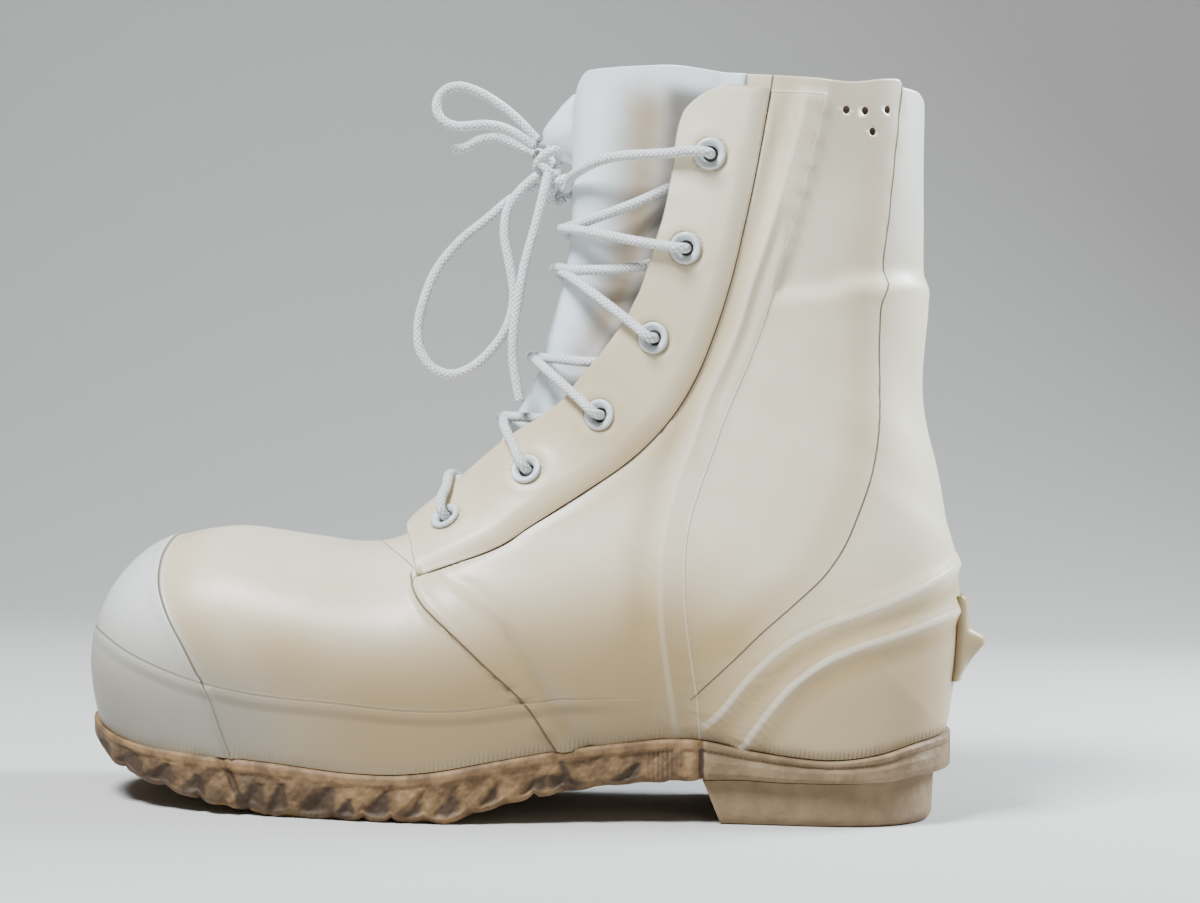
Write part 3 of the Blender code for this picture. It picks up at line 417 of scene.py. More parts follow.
def make_seam_line():
    """Line is 1 where the painted distance is nought and falls to 0 at Half to each side. Step is a lip on
    the side of the upper layer, where the distance is less than nought, and sinks back from 4 to 14 halves
    away."""
    group, into, out = new_group("seam line", {"Distance": 9.0, "Half": 0.5}, ("Line", "Step"))
    share = maths(group, "DIVIDE", into["Distance"], into["Half"])
    group.links.new(ramp(group, maths(group, "ABSOLUTE", share), 0.3, 1.0, 1.0, 0.0), out["Line"])
    lip = times(group, ramp(group, share, -1.2, 0.2, 1.0, 0.0), ramp(group, share, -14.0, -4.0))
    group.links.new(lip, out["Step"])
    return group


def make_grime():
    """Patches where Amount, lifted and lowered by noise, is high, and none at all where Amount is
    nought."""
    group, into, out = new_group("grime", {"Place": None, "Amount": 0.0, "Scale": 90.0}, ("Dirt",))
    broken = noise(group, into["Place"], into["Scale"], 5.0, 0.65)
    lifted = plus(group, into["Amount"], times(group, maths(group, "SUBTRACT", broken, 0.5), 0.9))
    dirt = ramp(group, lifted, 0.35, 0.95)
    group.links.new(times(group, dirt, ramp(group, into["Amount"], 0.0, 0.2)), out["Dirt"])
    return group


RUBBER_SKIN, SEAM_LINE, GRIME = make_rubber_skin(), make_seam_line(), make_grime()
print("node groups:", RUBBER_SKIN.name, SEAM_LINE.name, GRIME.name)

# %% [markdown]
# ## White rubber
#
# The upper is a creamy white rubber with a satin gloss. Several values painted on the points draw the colour
# towards their own. One yellows it along the seams, and low down and beside the bead and the ribs it is
# painted shade. Two are painted shade that climbs from the sole, one tan and one grey at the toe, and the
# grey one also greys the shaft above the shelf and near the top. One is a painted cool reflection on the toe
# cap and a painted highlight on the strip at the back, and one is dark patches, of dirt and of painted shade.
# Its seams are thin dark grooves, with the edge of the upper layer beside them, and its moulded ribs have a
# fine crest with a painted highlight along it. Lines could be drawn as curves of their own, but a line that
# follows a painted distance stays thin and crisp, and lies exactly in the shape's own step.

# %% White rubber
CREAM = (0.88, 0.80, 0.625, 1)
# the warmer mottle, and the yellowing along the seams, which also serves as painted shade low down and beside
# the bead and the ribs
WARM = (0.46, 0.325, 0.155, 1)
# painted shade in tan, climbing from the sole
TANNED = (0.28, 0.198, 0.10, 1)
# painted shade in grey on the low toe; the same grey greys the shaft above the shelf and near the top
DULLED = (0.24, 0.222, 0.185, 1)
# painted light: a cool reflection on the toe cap and a highlight on the strip behind the rear seam
CLEAN = (0.56, 0.63, 0.65, 1)
GREYED = (0.28, 0.215, 0.135, 1)
LINED = (0.60, 0.56, 0.48, 1)
LINE_DARK = (0.13, 0.085, 0.045, 1)
# a painted highlight along the crests
CREST_PALE = (0.86, 0.83, 0.76, 1)
SEAMS = {  # half width in mm, how dark, how high the upper layer's edge is, how deep the groove is
    "cap_line": (0.45, 0.65, 0.40, 0.45),
    "bumper_line": (0.42, 0.60, 0.80, 0.35),
    "vamp_line": (0.50, 0.80, 0.30, 0.5),
    "rear_line": (0.42, 0.92, 0.0, 0.8),
    "stay_line": (0.42, 0.80, 0.0, 0.6),
    "faint_line": (0.35, 0.45, 0.0, 0.3),
}
CRESTS = {  # half width in mm, how strong the painted highlight is, how high
    "first_rib": (1.7, 0.32, 0.15),
    "second_rib": (1.7, 0.36, 0.15),
    "quarter_line": (0.55, 0.40, 0.35),
    "top_line": (0.55, 0.35, 0.30),
    "bead_line": (1.6, 0.25, 0.12),
}
LINES = (*SEAMS, *CRESTS)
TICK_PITCH = 0.0016
# light goes a few millimetres into rubber, and red goes furthest
TRANSLUCENT = {
    "Subsurface Weight": 0.08,
    "Subsurface Radius": (0.006, 0.004, 0.0025),
    "Subsurface Scale": 1.0,
}

print("seams:", len(SEAMS), "crests:", len(CRESTS))

# %% The white rubber's network
def painted_line(tree, line, half, *parts):
    """The named parts of a seam line at its painted distance, each times how much of the line is there."""
    got = use(tree, SEAM_LINE, {"Distance": painted(tree, line), "Half": half})
    shown = painted(tree, line + "_shown")
    return [times(tree, got[part], shown) for part in parts]


def mould_ticks(tree, place):
    """Fine upright ticks of the mould, just above the sole: a sine along the boot times the painted
    knurl."""
    along = node(tree, "ShaderNodeSeparateXYZ", {0: place}).outputs[0]
    ticks = maths(tree, "SINE", times(tree, along, 2 * math.pi / TICK_PITCH))
    return times(tree, ticks, painted(tree, "knurl"))


def make_white_rubber(name, seams, crests):
    """Cream, mottled a little warmer, then drawn towards the yellowing, each painted shade and highlight, the
    dark patches, each seam's dark and each crest's painted highlight. The same lines lower and raise the
    bump, and the dark patches make it rougher."""
    look, tree, shader, place = new_finish(name)
    skin = use(tree, RUBBER_SKIN, {"Place": place, "Grain": 900.0})
    colour = blend(tree, times(tree, skin["Mottle"], 0.22), CREAM, WARM)
    # the painted stains, shades and highlights of the upper
    for stain, towards in (("warmth", WARM), ("tanned", TANNED), ("clean", CLEAN), ("dulled", DULLED)):
        colour = blend(tree, painted(tree, stain), colour, towards)
    # dark patches, of dirt and of painted shade
    dirt = use(tree, GRIME, {"Place": place, "Amount": painted(tree, "soil"), "Scale": 70.0})["Dirt"]
    colour = blend(tree, times(tree, dirt, 0.75), colour, GREYED)
    colour = blend(tree, times(tree, skin["Scuff"], 0.10), colour, GREYED)
    colour = blend(tree, painted(tree, "lining"), colour, LINED)
    height, dark = times(tree, skin["Height"], 0.13), dirt
    for line, (half, darkness, step, groove) in seams.items():
        cut, lip = painted_line(tree, line, half, "Line", "Step")
        darkened = times(tree, cut, darkness)
        colour = blend(tree, darkened, colour, LINE_DARK)
        dark = maths(tree, "MAXIMUM", dark, darkened)
        height = maths(tree, "SUBTRACT", height, times(tree, cut, groove))
        height = plus(tree, height, times(tree, lip, step))
    for line, (half, paleness, rise) in crests.items():
        # a painted highlight along each crest
        (crest,) = painted_line(tree, line, half, "Line")
        colour = blend(tree, times(tree, crest, paleness), colour, CREST_PALE)
        height = plus(tree, height, times(tree, crest, rise))
    ticks = mould_ticks(tree, place)
    colour = blend(tree, maths(tree, "MULTIPLY", ticks, 0.14, clamp=True), colour, GREYED)
    height = plus(tree, height, times(tree, ticks, 0.08))
    rough = plus(tree, plus(tree, times(tree, skin["Mottle"], 0.10), 0.34), times(tree, dark, 0.25))
    feed(tree, shader, {"Base Color": colour, "Roughness": rough, "IOR": 1.48, **TRANSLUCENT})
    bump(tree, shader, height, MM)
    return look


upper_rubber = make_white_rubber("upper rubber", SEAMS, CRESTS)
flap_rubber = make_white_rubber("flap rubber", {}, {})
print("white rubber nodes:", len(upper_rubber.node_tree.nodes), "and", len(flap_rubber.node_tree.nodes))

# %% [markdown]
# ## The other finishes
#
# The tongue is a whiter, thinner rubber, tinted blue as painted cool light, and painted tan and then grey
# where it folds in: the tan is partly yellowed rubber and partly painted shade, and the grey is painted
# shadow under the flap. The sole, the band over the heel and the heel block are one mottled, crumbly rubber
# in three tints of tan, darker with painted shade in their hollows, and a fourth, dark, is painted shade
# inside the vent holes. The lace is cotton: two sets of strands cross on the tube's own UV map, which bends
# with the lace as a pattern in space could not, and its brightest colour is tinted blue as a painted
# highlight. The eyelets are painted metal that is rubbed bare at the bore, and the insole is felt.

# %% Tongue and tread
def make_tongue_rubber():
    """Thinner, whiter rubber, tinted blue as painted cool light; where it folds in beside the shaft it is
    tan, partly yellowed rubber and partly painted shade, and then grey, which is painted shadow under the
    flap.
    """
    look, tree, shader, place = new_finish("tongue rubber")
    # the whites are tinted blue as painted cool light
    white, shadowed = (0.75, 0.82, 0.88, 1), (0.70, 0.745, 0.76, 1)
    tan, grey = (0.34, 0.245, 0.14, 1), (0.13, 0.112, 0.088, 1)
    skin = use(tree, RUBBER_SKIN, {"Place": place, "Grain": 800.0})
    colour = blend(tree, times(tree, skin["Mottle"], 0.25), white, shadowed)
    # tan in the fold, partly yellowed rubber and partly painted shade, then grey, painted shadow under the
    # flap
    colour = blend(tree, times(tree, painted(tree, "fold_tan"), 0.9), colour, tan)
    colour = blend(tree, times(tree, painted(tree, "fold_grey"), 0.85), colour, grey)
    rough = plus(tree, times(tree, skin["Mottle"], 0.10), 0.30)
    feed(tree, shader, {"Base Color": colour, "Roughness": rough, **TRANSLUCENT})
    bump(tree, shader, times(tree, skin["Height"], 0.15), MM)
    return look


def make_tread_rubber(name, light, mid, dark):
    """Crepe-like rubber: mottled in two sizes, darker with painted shade and grime where its surface lies
    deep, with a crumbly bump.
    """
    look, tree, shader, place = new_finish(name)
    skin = use(tree, RUBBER_SKIN, {"Place": place, "Grain": 1200.0})
    patches = ramp(tree, noise(tree, place, 110.0, 5.0, 0.65), 0.35, 0.65)
    colour = blend(tree, patches, (*light, 1), (*mid, 1))
    # painted shade, with grime, where the surface lies deep: in hollows, grooves and creases
    dirt = use(tree, GRIME, {"Place": place, "Amount": painted(tree, "deep"), "Scale": 160.0})["Dirt"]
    colour = blend(tree, times(tree, dirt, 0.9), colour, (*dark, 1))
    feed(tree, shader, {"Base Color": colour, "Roughness": plus(tree, times(tree, patches, 0.12), 0.62)})
    crumbs = plus(tree, times(tree, patches, 0.4), skin["Height"])
    bump(tree, shader, times(tree, crumbs, 0.35), MM)
    return look


tongue_rubber = make_tongue_rubber()
tread_rubber = make_tread_rubber(
    "tread rubber", (0.245, 0.142, 0.059), (0.118, 0.065, 0.026), (0.04, 0.021, 0.009)
)
heel_rubber = make_tread_rubber(
    "heel rubber", (0.235, 0.153, 0.082), (0.19, 0.122, 0.065), (0.07, 0.04, 0.021)
)
band_rubber = make_tread_rubber(
    "heel band rubber", (0.23, 0.15, 0.08), (0.145, 0.09, 0.045), (0.038, 0.021, 0.011)
)
# painted shade: the dark walls and floor of the shallow vent holes
vent_rubber = make_tread_rubber(
    "vent rubber", (0.17, 0.12, 0.085), (0.11, 0.075, 0.05), (0.05, 0.035, 0.02)
)
print("rubbers:", [look.name for look in bpy.data.materials if "rubber" in look.name])

# %% Cotton, metal and felt
STRANDS_ROUND, STRANDS_ALONG = 6.0, 1.9


def make_cotton():
    """A round braid under a short fuzz. Each set of strands is the sine of a turn that goes round and
    along, one set leaning each way, and the braid is one set times the other."""
    look, tree, shader, place = new_finish("braided cotton")
    # the white is tinted blue as a painted highlight; the shadow is painted shade between the strands
    shadow, white, soiled = (0.37, 0.37, 0.36, 1), (0.97, 0.99, 1.0, 1), (0.55, 0.52, 0.46, 1)
    uv = node(tree, "ShaderNodeUVMap", uv_map="braid").outputs[0]
    split = node(tree, "ShaderNodeSeparateXYZ", {0: uv})
    around, along = times(tree, split.outputs[0], STRANDS_ROUND), times(tree, split.outputs[1], STRANDS_ALONG)
    strands = []
    for way in ("ADD", "SUBTRACT"):
        turn = times(tree, maths(tree, way, along, around), math.pi)
        strands.append(maths(tree, "ABSOLUTE", maths(tree, "SINE", turn)))
    fuzz = noise(tree, place, 1300.0, 4.0, 0.85)
    shade = plus(tree, times(tree, times(tree, *strands), 0.38), times(tree, fuzz, 0.75))
    colour = blend(tree, ramp(tree, shade, 0.15, 0.85), shadow, white)
    soil = ramp(tree, noise(tree, place, 55.0, 4.0, 0.6), 0.5, 0.75)
    colour = blend(tree, times(tree, soil, 0.35), colour, soiled)
    feed(tree, shader, {"Base Color": colour, "Roughness": 0.9, "Sheen Weight": 0.35})
    bump(tree, shader, times(tree, shade, 0.6), MM)
    return look


def make_painted_metal():
    """Pale grey-white paint on brass, worn to grey round the bore where the lace rubs."""
    look, tree, shader, place = new_finish("painted eyelet metal")
    speck = noise(tree, place, 700.0, 3.0, 0.6)
    rub = times(tree, painted(tree, "rub"), ramp(tree, speck, 0.35, 0.65))
    colour = blend(tree, times(tree, rub, 0.8), (0.62, 0.66, 0.67, 1), (0.30, 0.31, 0.31, 1))
    feed(tree, shader, {"Base Color": colour, "Roughness": plus(tree, times(tree, rub, 0.2), 0.28)})
    bump(tree, shader, times(tree, speck, 0.12), 0.5 * MM)
    return look


def make_felt():
    """Matt fibres: fine noise in colour and in height."""
    look, tree, shader, place = new_finish("insole felt")
    fibre = noise(tree, place, 900.0, 5.0, 0.75)
    colour = blend(tree, ramp(tree, fibre, 0.3, 0.7), (0.40, 0.36, 0.29, 1), (0.58, 0.54, 0.45, 1))
    feed(tree, shader, {"Base Color": colour, "Roughness": 0.95})
    bump(tree, shader, times(tree, fibre, 0.5), MM)
    return look


cotton, painted_metal, felt = make_cotton(), make_painted_metal(), make_felt()
print("finishes:", ", ".join(look.name for look in bpy.data.materials if look.use_nodes))

# %% [markdown]
# ## The bow
#
# The lace is one round cotton cord, 3.7 mm thick. From the knot hang two loops and two ends. Their routes are
# laid as a bow falls, and are the same as those of the solids that they replace.

# %% The bow's cords
LACE = 3.7
KNOT_AT = (4.0, -5.0, 243.0)
BOW = {
    "lace_loop_up": ("object", [
        (-0.2, -5.0, 251.1), (-8.5, -5.5, 259.3), (-16.5, -6.0, 265.2), (-23.5, -6.5, 268.7),
        (-29.5, -7.0, 270.0), (-33.6, -7.4, 269.0), (-36.6, -7.8, 266.2), (-37.8, -8.3, 262.4),
        (-36.8, -8.8, 258.5), (-33.9, -9.2, 255.7), (-30.0, -9.6, 254.6), (-24.0, -9.9, 255.0),
        (-18.0, -10.1, 255.4), (-12.2, -9.9, 254.3), (-6.3, -9.5, 251.4), (-1.0, -8.7, 247.9)]),
    "lace_loop_down": ("object", [
        (0.3, -7.4, 233.9), (-9.7, -8.0, 228.0), (-18.5, -9.0, 220.2), (-29.1, -10.0, 211.1),
        (-37.3, -11.0, 200.6), (-42.3, -12.0, 188.6), (-44.4, -12.5, 178.0), (-43.2, -13.0, 169.0),
        (-38.8, -13.5, 163.4), (-31.7, -14.0, 161.2), (-24.5, -14.5, 163.8), (-16.9, -15.0, 170.6),
        (-11.2, -15.5, 178.9), (-8.4, -15.5, 190.0), (-10.0, -14.5, 203.0), (-12.0, -13.5, 214.0),
        (-10.6, -12.5, 224.0), (-5.6, -11.5, 231.5), (0.2, -10.4, 236.9)]),
    "lace_end_1": ("bare", [
        (4.5, -12.4, 238.0), (2.6, -15.0, 229.5), (-0.4, -16.6, 217.0), (-4.2, -18.0, 203.1),
        (-6.6, -19.2, 190.1), (-8.4, -20.0, 177.0), (-8.6, -20.4, 168.0), (-7.4, -20.6, 159.7),
        (-6.0, -20.6, 151.5)]),
    "lace_end_2": ("bare", [
        (-0.9, -2.0, 246.0), (-10.0, 0.5, 250.4), (-15.8, 1.5, 252.2), (-22.0, 2.0, 251.2),
        (-27.5, 2.0, 248.2), (-32.6, 2.0, 247.0)]),
}

for name, (far_end, route) in BOW.items():
    path = through(route, 1.2)
    cord = tube(name + "_braid", path, LACE / 2, [cotton], sides=16)
    dress(cord, "cotton", name)

# %% [markdown]
# ## The last
#
# A boot takes its shape from a last, the wooden foot it is made over. This one is a stack of sections
# hinged about the instep. Each runs from a front point, on the toe box, instep or shaft front, to a rear
# point, on the sole line or the back of the heel. A place on it is a row, an angle and a side: the row
# counts sections from toe tip to collar, and the angle goes round from the front line at 0, over the widest
# place at 90, to the rear line at 180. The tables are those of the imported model, so each fine surface lies
# on the solid that it dresses.

# %% Tables of the last, in millimetres
BOOT_LENGTH, BALL_WIDTH, INSTEP_HEIGHT, COLLAR_HEIGHT, TOE_TIP_X = 328.0, 120.0, 100.0, 275.0, -168.5
GAP, FLAP_GAP = 0.3, 0.75
WALL_THICK, WALL_THIN, TONGUE_WALL, FLAP_WALL = 8.0, 3.4, 3.0, 2.4
HEEL_ROW, COLLAR_ROW, THROAT_ROW = 12.0, 19.0, 7.45
# front: share of the length behind the toe, level (1 instep, 2 collar); rear: the same two; half width as a
# share of half the ball width; shift of the front point; place of the widest point; roundness of both ends
SECTION_COLUMNS = ("front_along", "front_level", "rear_along", "rear_level", "half", "shift", "widest",
                   "front_round", "rear_round")
SECTIONS = np.array([
    (0.000, 0.460, 0.008, 0.295, 0.000, 5.5, 0.50, 2.00, 2.20),
    (0.007, 0.630, 0.021, 0.276, 0.458, 5.4, 0.56, 2.10, 2.30),
    (0.032, 0.810, 0.058, 0.243, 0.708, 5.0, 0.60, 2.20, 2.40),
    (0.084, 0.955, 0.111, 0.222, 0.858, 4.6, 0.62, 2.30, 2.50),
    (0.163, 1.010, 0.184, 0.207, 0.942, 4.2, 0.64, 2.30, 2.50),
    (0.248, 0.994, 0.264, 0.192, 0.995, 3.6, 0.66, 2.25, 2.50),
    (0.313, 0.975, 0.343, 0.173, 1.008, 3.0, 0.68, 2.20, 2.50),
    (0.361, 1.003, 0.422, 0.197, 0.985, 2.0, 0.70, 2.10, 2.50),
    (0.401, 1.068, 0.514, 0.254, 0.900, 1.0, 0.72, 2.05, 2.50),
    (0.444, 1.154, 0.617, 0.299, 0.817, 0.5, 0.74, 2.05, 2.50),
    (0.486, 1.263, 0.742, 0.284, 0.767, 0.0, 0.78, 2.10, 2.50),
    (0.514, 1.363, 0.873, 0.259, 0.758, 0.0, 0.80, 2.20, 2.40),
    (0.527, 1.446, 0.983, 0.330, 0.758, 0.0, 0.70, 2.30, 2.30),
    (0.537, 1.514, 1.000, 0.660, 0.767, 0.0, 0.62, 2.30, 2.20),
    (0.546, 1.583, 0.992, 1.011, 0.775, 0.0, 0.58, 2.30, 2.20),
    (0.552, 1.657, 0.970, 1.229, 0.800, 0.0, 0.54, 2.30, 2.20),
    (0.553, 1.737, 0.962, 1.429, 0.833, 0.0, 0.52, 2.25, 2.20),
    (0.554, 1.823, 0.963, 1.617, 0.858, 0.0, 0.50, 2.20, 2.20),
    (0.554, 1.909, 0.964, 1.806, 0.867, 0.0, 0.50, 2.20, 2.20),
    (0.555, 2.000, 0.965, 1.989, 0.875, 0.0, 0.50, 2.20, 2.20),
])
BACK = np.array([  # height x
    (33, 154.0), (38, 155.3), (49, 157.2), (62, 159.0), (78, 159.8), (89, 159.3), (100, 158.0),
    (111, 154.9), (123, 152.8), (134, 150.4), (145, 147.6), (157, 145.8), (168, 145.8), (180, 146.8),
    (191, 147.8), (208, 148.0), (240, 147.8), (275, 148.0),
])
SOLE = np.array([  # x, line where the upper meets the sole, underside
    (-170, 31.0, 26.0), (-166, 29.5, 22.4), (-155, 25.5, 14.2), (-143, 23.2, 10.0), (-128, 22.0, 6.0),
    (-106, 20.6, 2.0), (-92, 19.6, 0.0), (-66, 17.4, 0.0), (-48, 17.4, 0.0), (-32, 19.4, 0.0),
    (-19, 22.0, 4.2), (-3, 25.0, 8.7), (13, 27.6, 11.7), (30, 29.7, 14.0), (60, 31.2, 16.0),
    (74, 28.5, 16.5), (90, 26.0, 16.0), (107, 24.8, 16.0), (125, 27.0, 16.5), (140, 31.0, 18.5),
    (156, 33.6, 20.0),
])
PLAN = np.array([  # x, middle line, half width
    (-170, 5.5, 50.0), (-150, 5.2, 52.0), (-110, 3.5, 55.0), (-80, 2.2, 58.3), (-55, 0.6, 60.0),
    (-30, -1.8, 58.2), (0, -4.0, 51.0), (30, -4.0, 44.5), (60, -2.5, 42.0), (100, -0.8, 43.5),
    (130, 0.0, 44.0), (160, 0.0, 44.0),
])
SOLE_TOE_X, SOLE_HEEL_X, BREAST_X = -167.0, 155.0, 61.0
TOE_ROUNDING, TOE_POWER, HEEL_ROUNDING, HEEL_POWER = 64.0, 2.25, 50.0, 2.2
print("sections:", len(SECTIONS))

# %% Outline and heights of the sole
def end_rounding(distance, length, power):
    """How much of the full width a rounded end has, at a distance in from its tip."""
    return (1 - np.clip(1 - distance / length, 0, 1) ** power) ** (1 / power)


def plan(x, grow):
    """The sole's middle line and half width at x, with its outline moved out by grow."""
    toe = end_rounding(x - (SOLE_TOE_X - grow), TOE_ROUNDING, TOE_POWER)
    heel = end_rounding((SOLE_HEEL_X + grow) - x, HEEL_ROUNDING, HEEL_POWER)
    return curve(PLAN[:, 0], PLAN[:, 1], x), (curve(PLAN[:, 0], PLAN[:, 2], x) + grow) * toe * heel


def sole_line(x):
    """The height at which the upper meets the sole."""
    return curve(SOLE[:, 0], SOLE[:, 1], x)


def under_line(x):
    """The height of the sole's underside."""
    return steady(SOLE[:, 0], SOLE[:, 2], x)


def height_of(level):
    """A level's height: 0 is the floor, 1 the instep and 2 the collar, with straight spans between them."""
    return np.interp(level, (0, 1, 2), (0, INSTEP_HEIGHT, COLLAR_HEIGHT))

# %% Sections of the last
def sections(row):
    """Every column of SECTIONS at these rows, in millimetres, with the rear points on the sole line or the
    back."""
    numbers = np.arange(len(SECTIONS))
    got = {name: curve(numbers, SECTIONS[:, i], row) for i, name in enumerate(SECTION_COLUMNS)}
    got["front_x"] = TOE_TIP_X + BOOT_LENGTH * curve(numbers, SECTIONS[:, 0], row, start_slope=0.0)
    got["front_z"] = curve(numbers, height_of(SECTIONS[:, 1]), row)
    on_sole = row <= HEEL_ROW
    along = TOE_TIP_X + BOOT_LENGTH * steady(numbers, SECTIONS[:, 2], row)
    up = steady(numbers, height_of(SECTIONS[:, 3]), row)
    got["rear_x"] = np.where(on_sole, along, curve(BACK[:, 0], BACK[:, 1], up))
    got["rear_z"] = np.where(on_sole, sole_line(along), up)
    middle, half = plan(along, -1.0)
    got["rear_y"] = np.where(on_sole, middle, 0.0)
    got["chord"] = np.where(on_sole, half, 0.0)
    got["half"] = np.maximum(got["half"] * BALL_WIDTH / 2, got["chord"] + GAP)
    return got


def last(row, angle, side):
    """Points of the last. A section is a superellipse on each side of its widest place, cut off at the
    sole's width. The half width at a share s of the way out from the widest place is half * (1 - (1 - end
    ** power) * s ** power) ** (1 / power), where end is the share of it left at the cut."""
    row, angle = np.broadcast_arrays(np.asarray(row, float), np.asarray(angle, float))
    got = sections(row)
    front = angle <= 90
    share = np.abs(np.cos(np.radians(angle)))
    power = np.where(front, got["front_round"], got["rear_round"])
    end = np.where(front, 0.0, got["chord"] / got["half"])
    wide = got["widest"]
    down = np.where(front, wide * (1 - share), wide + (1 - wide) * share)
    out = got["half"] * np.maximum(1 - (1 - end ** power) * share ** power, 0) ** (1 / power)
    x = got["front_x"] + (got["rear_x"] - got["front_x"]) * down
    y = got["shift"] + (got["rear_y"] - got["shift"]) * down + side * out
    z = got["front_z"] + (got["rear_z"] - got["front_z"]) * down
    return np.stack([x, y, z], -1)

# %% Normals of the last
def outward(row, angle, side):
    """The last's unit normal, from a small step along the rows crossed with one round the section."""
    step_row, step_angle = 0.02, 0.5
    row, angle = np.broadcast_arrays(np.asarray(row, float), np.asarray(angle, float))
    next_row, row_before = np.minimum(row + step_row, COLLAR_ROW), np.maximum(row - step_row, 0)
    wider, narrower = np.minimum(angle + step_angle, 180), np.maximum(angle - step_angle, 0)
    along = last(next_row, angle, side) - last(row_before, angle, side)
    across = last(row, wider, side) - last(row, narrower, side)
    normal = np.cross(along, across) * side
    return normal / np.maximum(np.linalg.norm(normal, axis=-1, keepdims=True), 1e-9)


def lifted(row, angle, side, lift):
    """A point of the last, moved out along its normal."""
    return last(row, angle, side) + outward(row, angle, side) * np.asarray(lift)[..., None]


def sided(function, row, angle, side):
    """A function of the last, with each place's own side."""
    return np.where(side[..., None] < 0, function(row, angle, LATERAL), function(row, angle, MEDIAL))


def facing(way, point):
    """A matrix with its origin at a point of the boot, in millimetres, and its +Z along the given way."""
    matrix = Vector(way).to_track_quat("Z", "Y").to_matrix().to_4x4()
    matrix.translation = Vector(stand(point))
    return matrix


print("collar front", stand(last(COLLAR_ROW, 0.0, LATERAL)).round(4).tolist())

# %% [markdown]
# ## Seams and steps of the upper
#
# Thick parts of the upper stand out from the last by about a millimetre: the toe cap, the strip round the
# sole, the moulded band that runs up the quarter, and two ribs round the heel. A smooth step is worked out
# from the distance to its edge, and the same distance is painted on the points, so that the thin dark seam
# lies exactly in the step.

# %% Tables of the seams
CAP_SEAM = np.array([
    (0, 3.22), (15, 3.19), (33, 3.12), (52, 3.13), (67, 3.27), (80, 3.47), (96, 3.69), (137, 3.93),
    (180, 4.05),
])  # angle row
BUMPER_TOP = np.array([  # x height
    (-170, 64.5), (-163, 63.5), (-144, 55.4), (-118, 47.0), (-101, 44.0), (-72, 42.0), (-47, 40.2),
    (-26, 40.5), (-5, 43.4), (10, 45.2), (25, 45.7),
])
BEAD = np.array([  # height x
    (32, 51.2), (40, 50.0), (56, 47.6), (70, 45.9), (85, 45.4), (97, 45.9), (111, 48.8), (123, 52.0),
    (139, 57.8), (154, 62.8), (168, 69.0), (181, 74.0), (193, 77.4), (208, 82.2), (222, 86.6), (236, 90.4),
    (247, 93.6), (257, 96.0), (268, 97.0),
])
QUARTER_REAR = np.array([  # height x
    (31, 59.6), (47, 58.4), (61, 56.3), (75, 54.7), (90, 54.1), (107, 55.6), (123, 60.2), (136, 64.8),
    (147, 68.6), (157, 72.8), (168, 77.3), (180, 81.8), (192, 85.6), (204, 89.2), (216, 92.8), (229, 96.4),
    (243, 100.0), (256, 102.7), (268, 105.0),
])
QUARTER_TOP = 267.8
RIBS = (  # x height
    np.array([(60, 35.0), (66.9, 41.3), (76, 52.2), (88.5, 64.2), (105, 73.8), (117.5, 78.4), (130.6, 83.4),
              (148.7, 91.4), (156.3, 95.3), (162, 98.0)]),
    np.array([(73, 26.0), (80.4, 36.6), (90.4, 48.8), (104.8, 60.2), (117.6, 66.2), (130.7, 70.4),
              (159.4, 79.6), (162, 80.4)]),
)
VAMP_SEAM = np.array([  # height x
    (26, 8.0), (32.3, 4.0), (44.7, -4.9), (54.2, -15.6), (67, -29.9), (76.2, -40.1), (81.2, -43.4),
    (87, -45.0),
])
VAMP_RIDGE = np.array([  # height x
    (26, 14.6), (41.3, 5.7), (52.7, -1.4), (64, -10.4), (74.3, -19.4), (81.8, -28.5), (87, -37.0),
])
REAR_SEAM = np.array([  # height x
    (46, 57.0), (60.3, 72.3), (69.5, 81.6), (80.6, 93.8), (91, 104.4), (99.2, 110.3), (115.5, 117.7),
    (130.2, 122.6), (145, 125.0), (163, 125.5), (181, 125.6), (192, 126.6), (197.5, 128.9), (203, 128.2),
    (221, 130.3), (243, 132.8), (262, 134.9), (276, 136.2),
])
SHELF_HEIGHT, SHELF_SLOPE, SHELF_X, SHELF_DROP = 190.4, 0.19, 75.6, 2.0
CAP_RISE, BUMPER_RISE, QUARTER_RISE = 1.1, 0.9, 0.7
CAP_ROW_LENGTH, ROW_LENGTH = 27.0, 17.0  # millimetres from row to row, at the toe cap and elsewhere
STAY_SEAM = np.array([  # height x
    (85.8, -44.0), (90, -33.4), (96.7, -16.2), (107.7, 1.0), (119.7, 19.0), (128.5, 31.4), (138.6, 42.6),
    (149.3, 51.3), (160.9, 58.0), (179.3, 65.4), (194.5, 70.1), (217.1, 75.5), (245.4, 81.2), (261.3, 83.9),
    (276, 86.0),
])
THROAT = np.array([
    (7.45, 0.0), (7.50, 12.0), (7.60, 24.0), (7.80, 34.0), (8.20, 41.0), (8.80, 43.0), (9.50, 43.5),
    (10.60, 42.5), (12.20, 47.5), (13.70, 58.5), (15.30, 71.5), (16.50, 78.5), (17.60, 83.0), (18.60, 86.0),
    (19.00, 86.5),
])
FLAP = np.array([  # row, free edge
    (7.22, 12.0), (7.50, 4.0), (8.20, 4.0), (8.80, 9.5), (9.50, 16.0), (10.60, 25.0), (11.80, 30.2),
    (12.98, 38.0), (13.98, 44.7), (14.92, 51.8), (15.75, 57.1), (16.48, 60.9), (17.08, 63.2), (17.75, 64.8),
    (18.13, 66.8), (18.37, 70.4), (18.57, 75.8), (18.66, 81.0),
])
print("seams and edges:", len(SEAMS) + len(CRESTS))

# %% Places of the seams
def cap_row(angle):
    """The row at which the toe cap's seam crosses this angle."""
    return curve(CAP_SEAM[:, 0], CAP_SEAM[:, 1], angle)


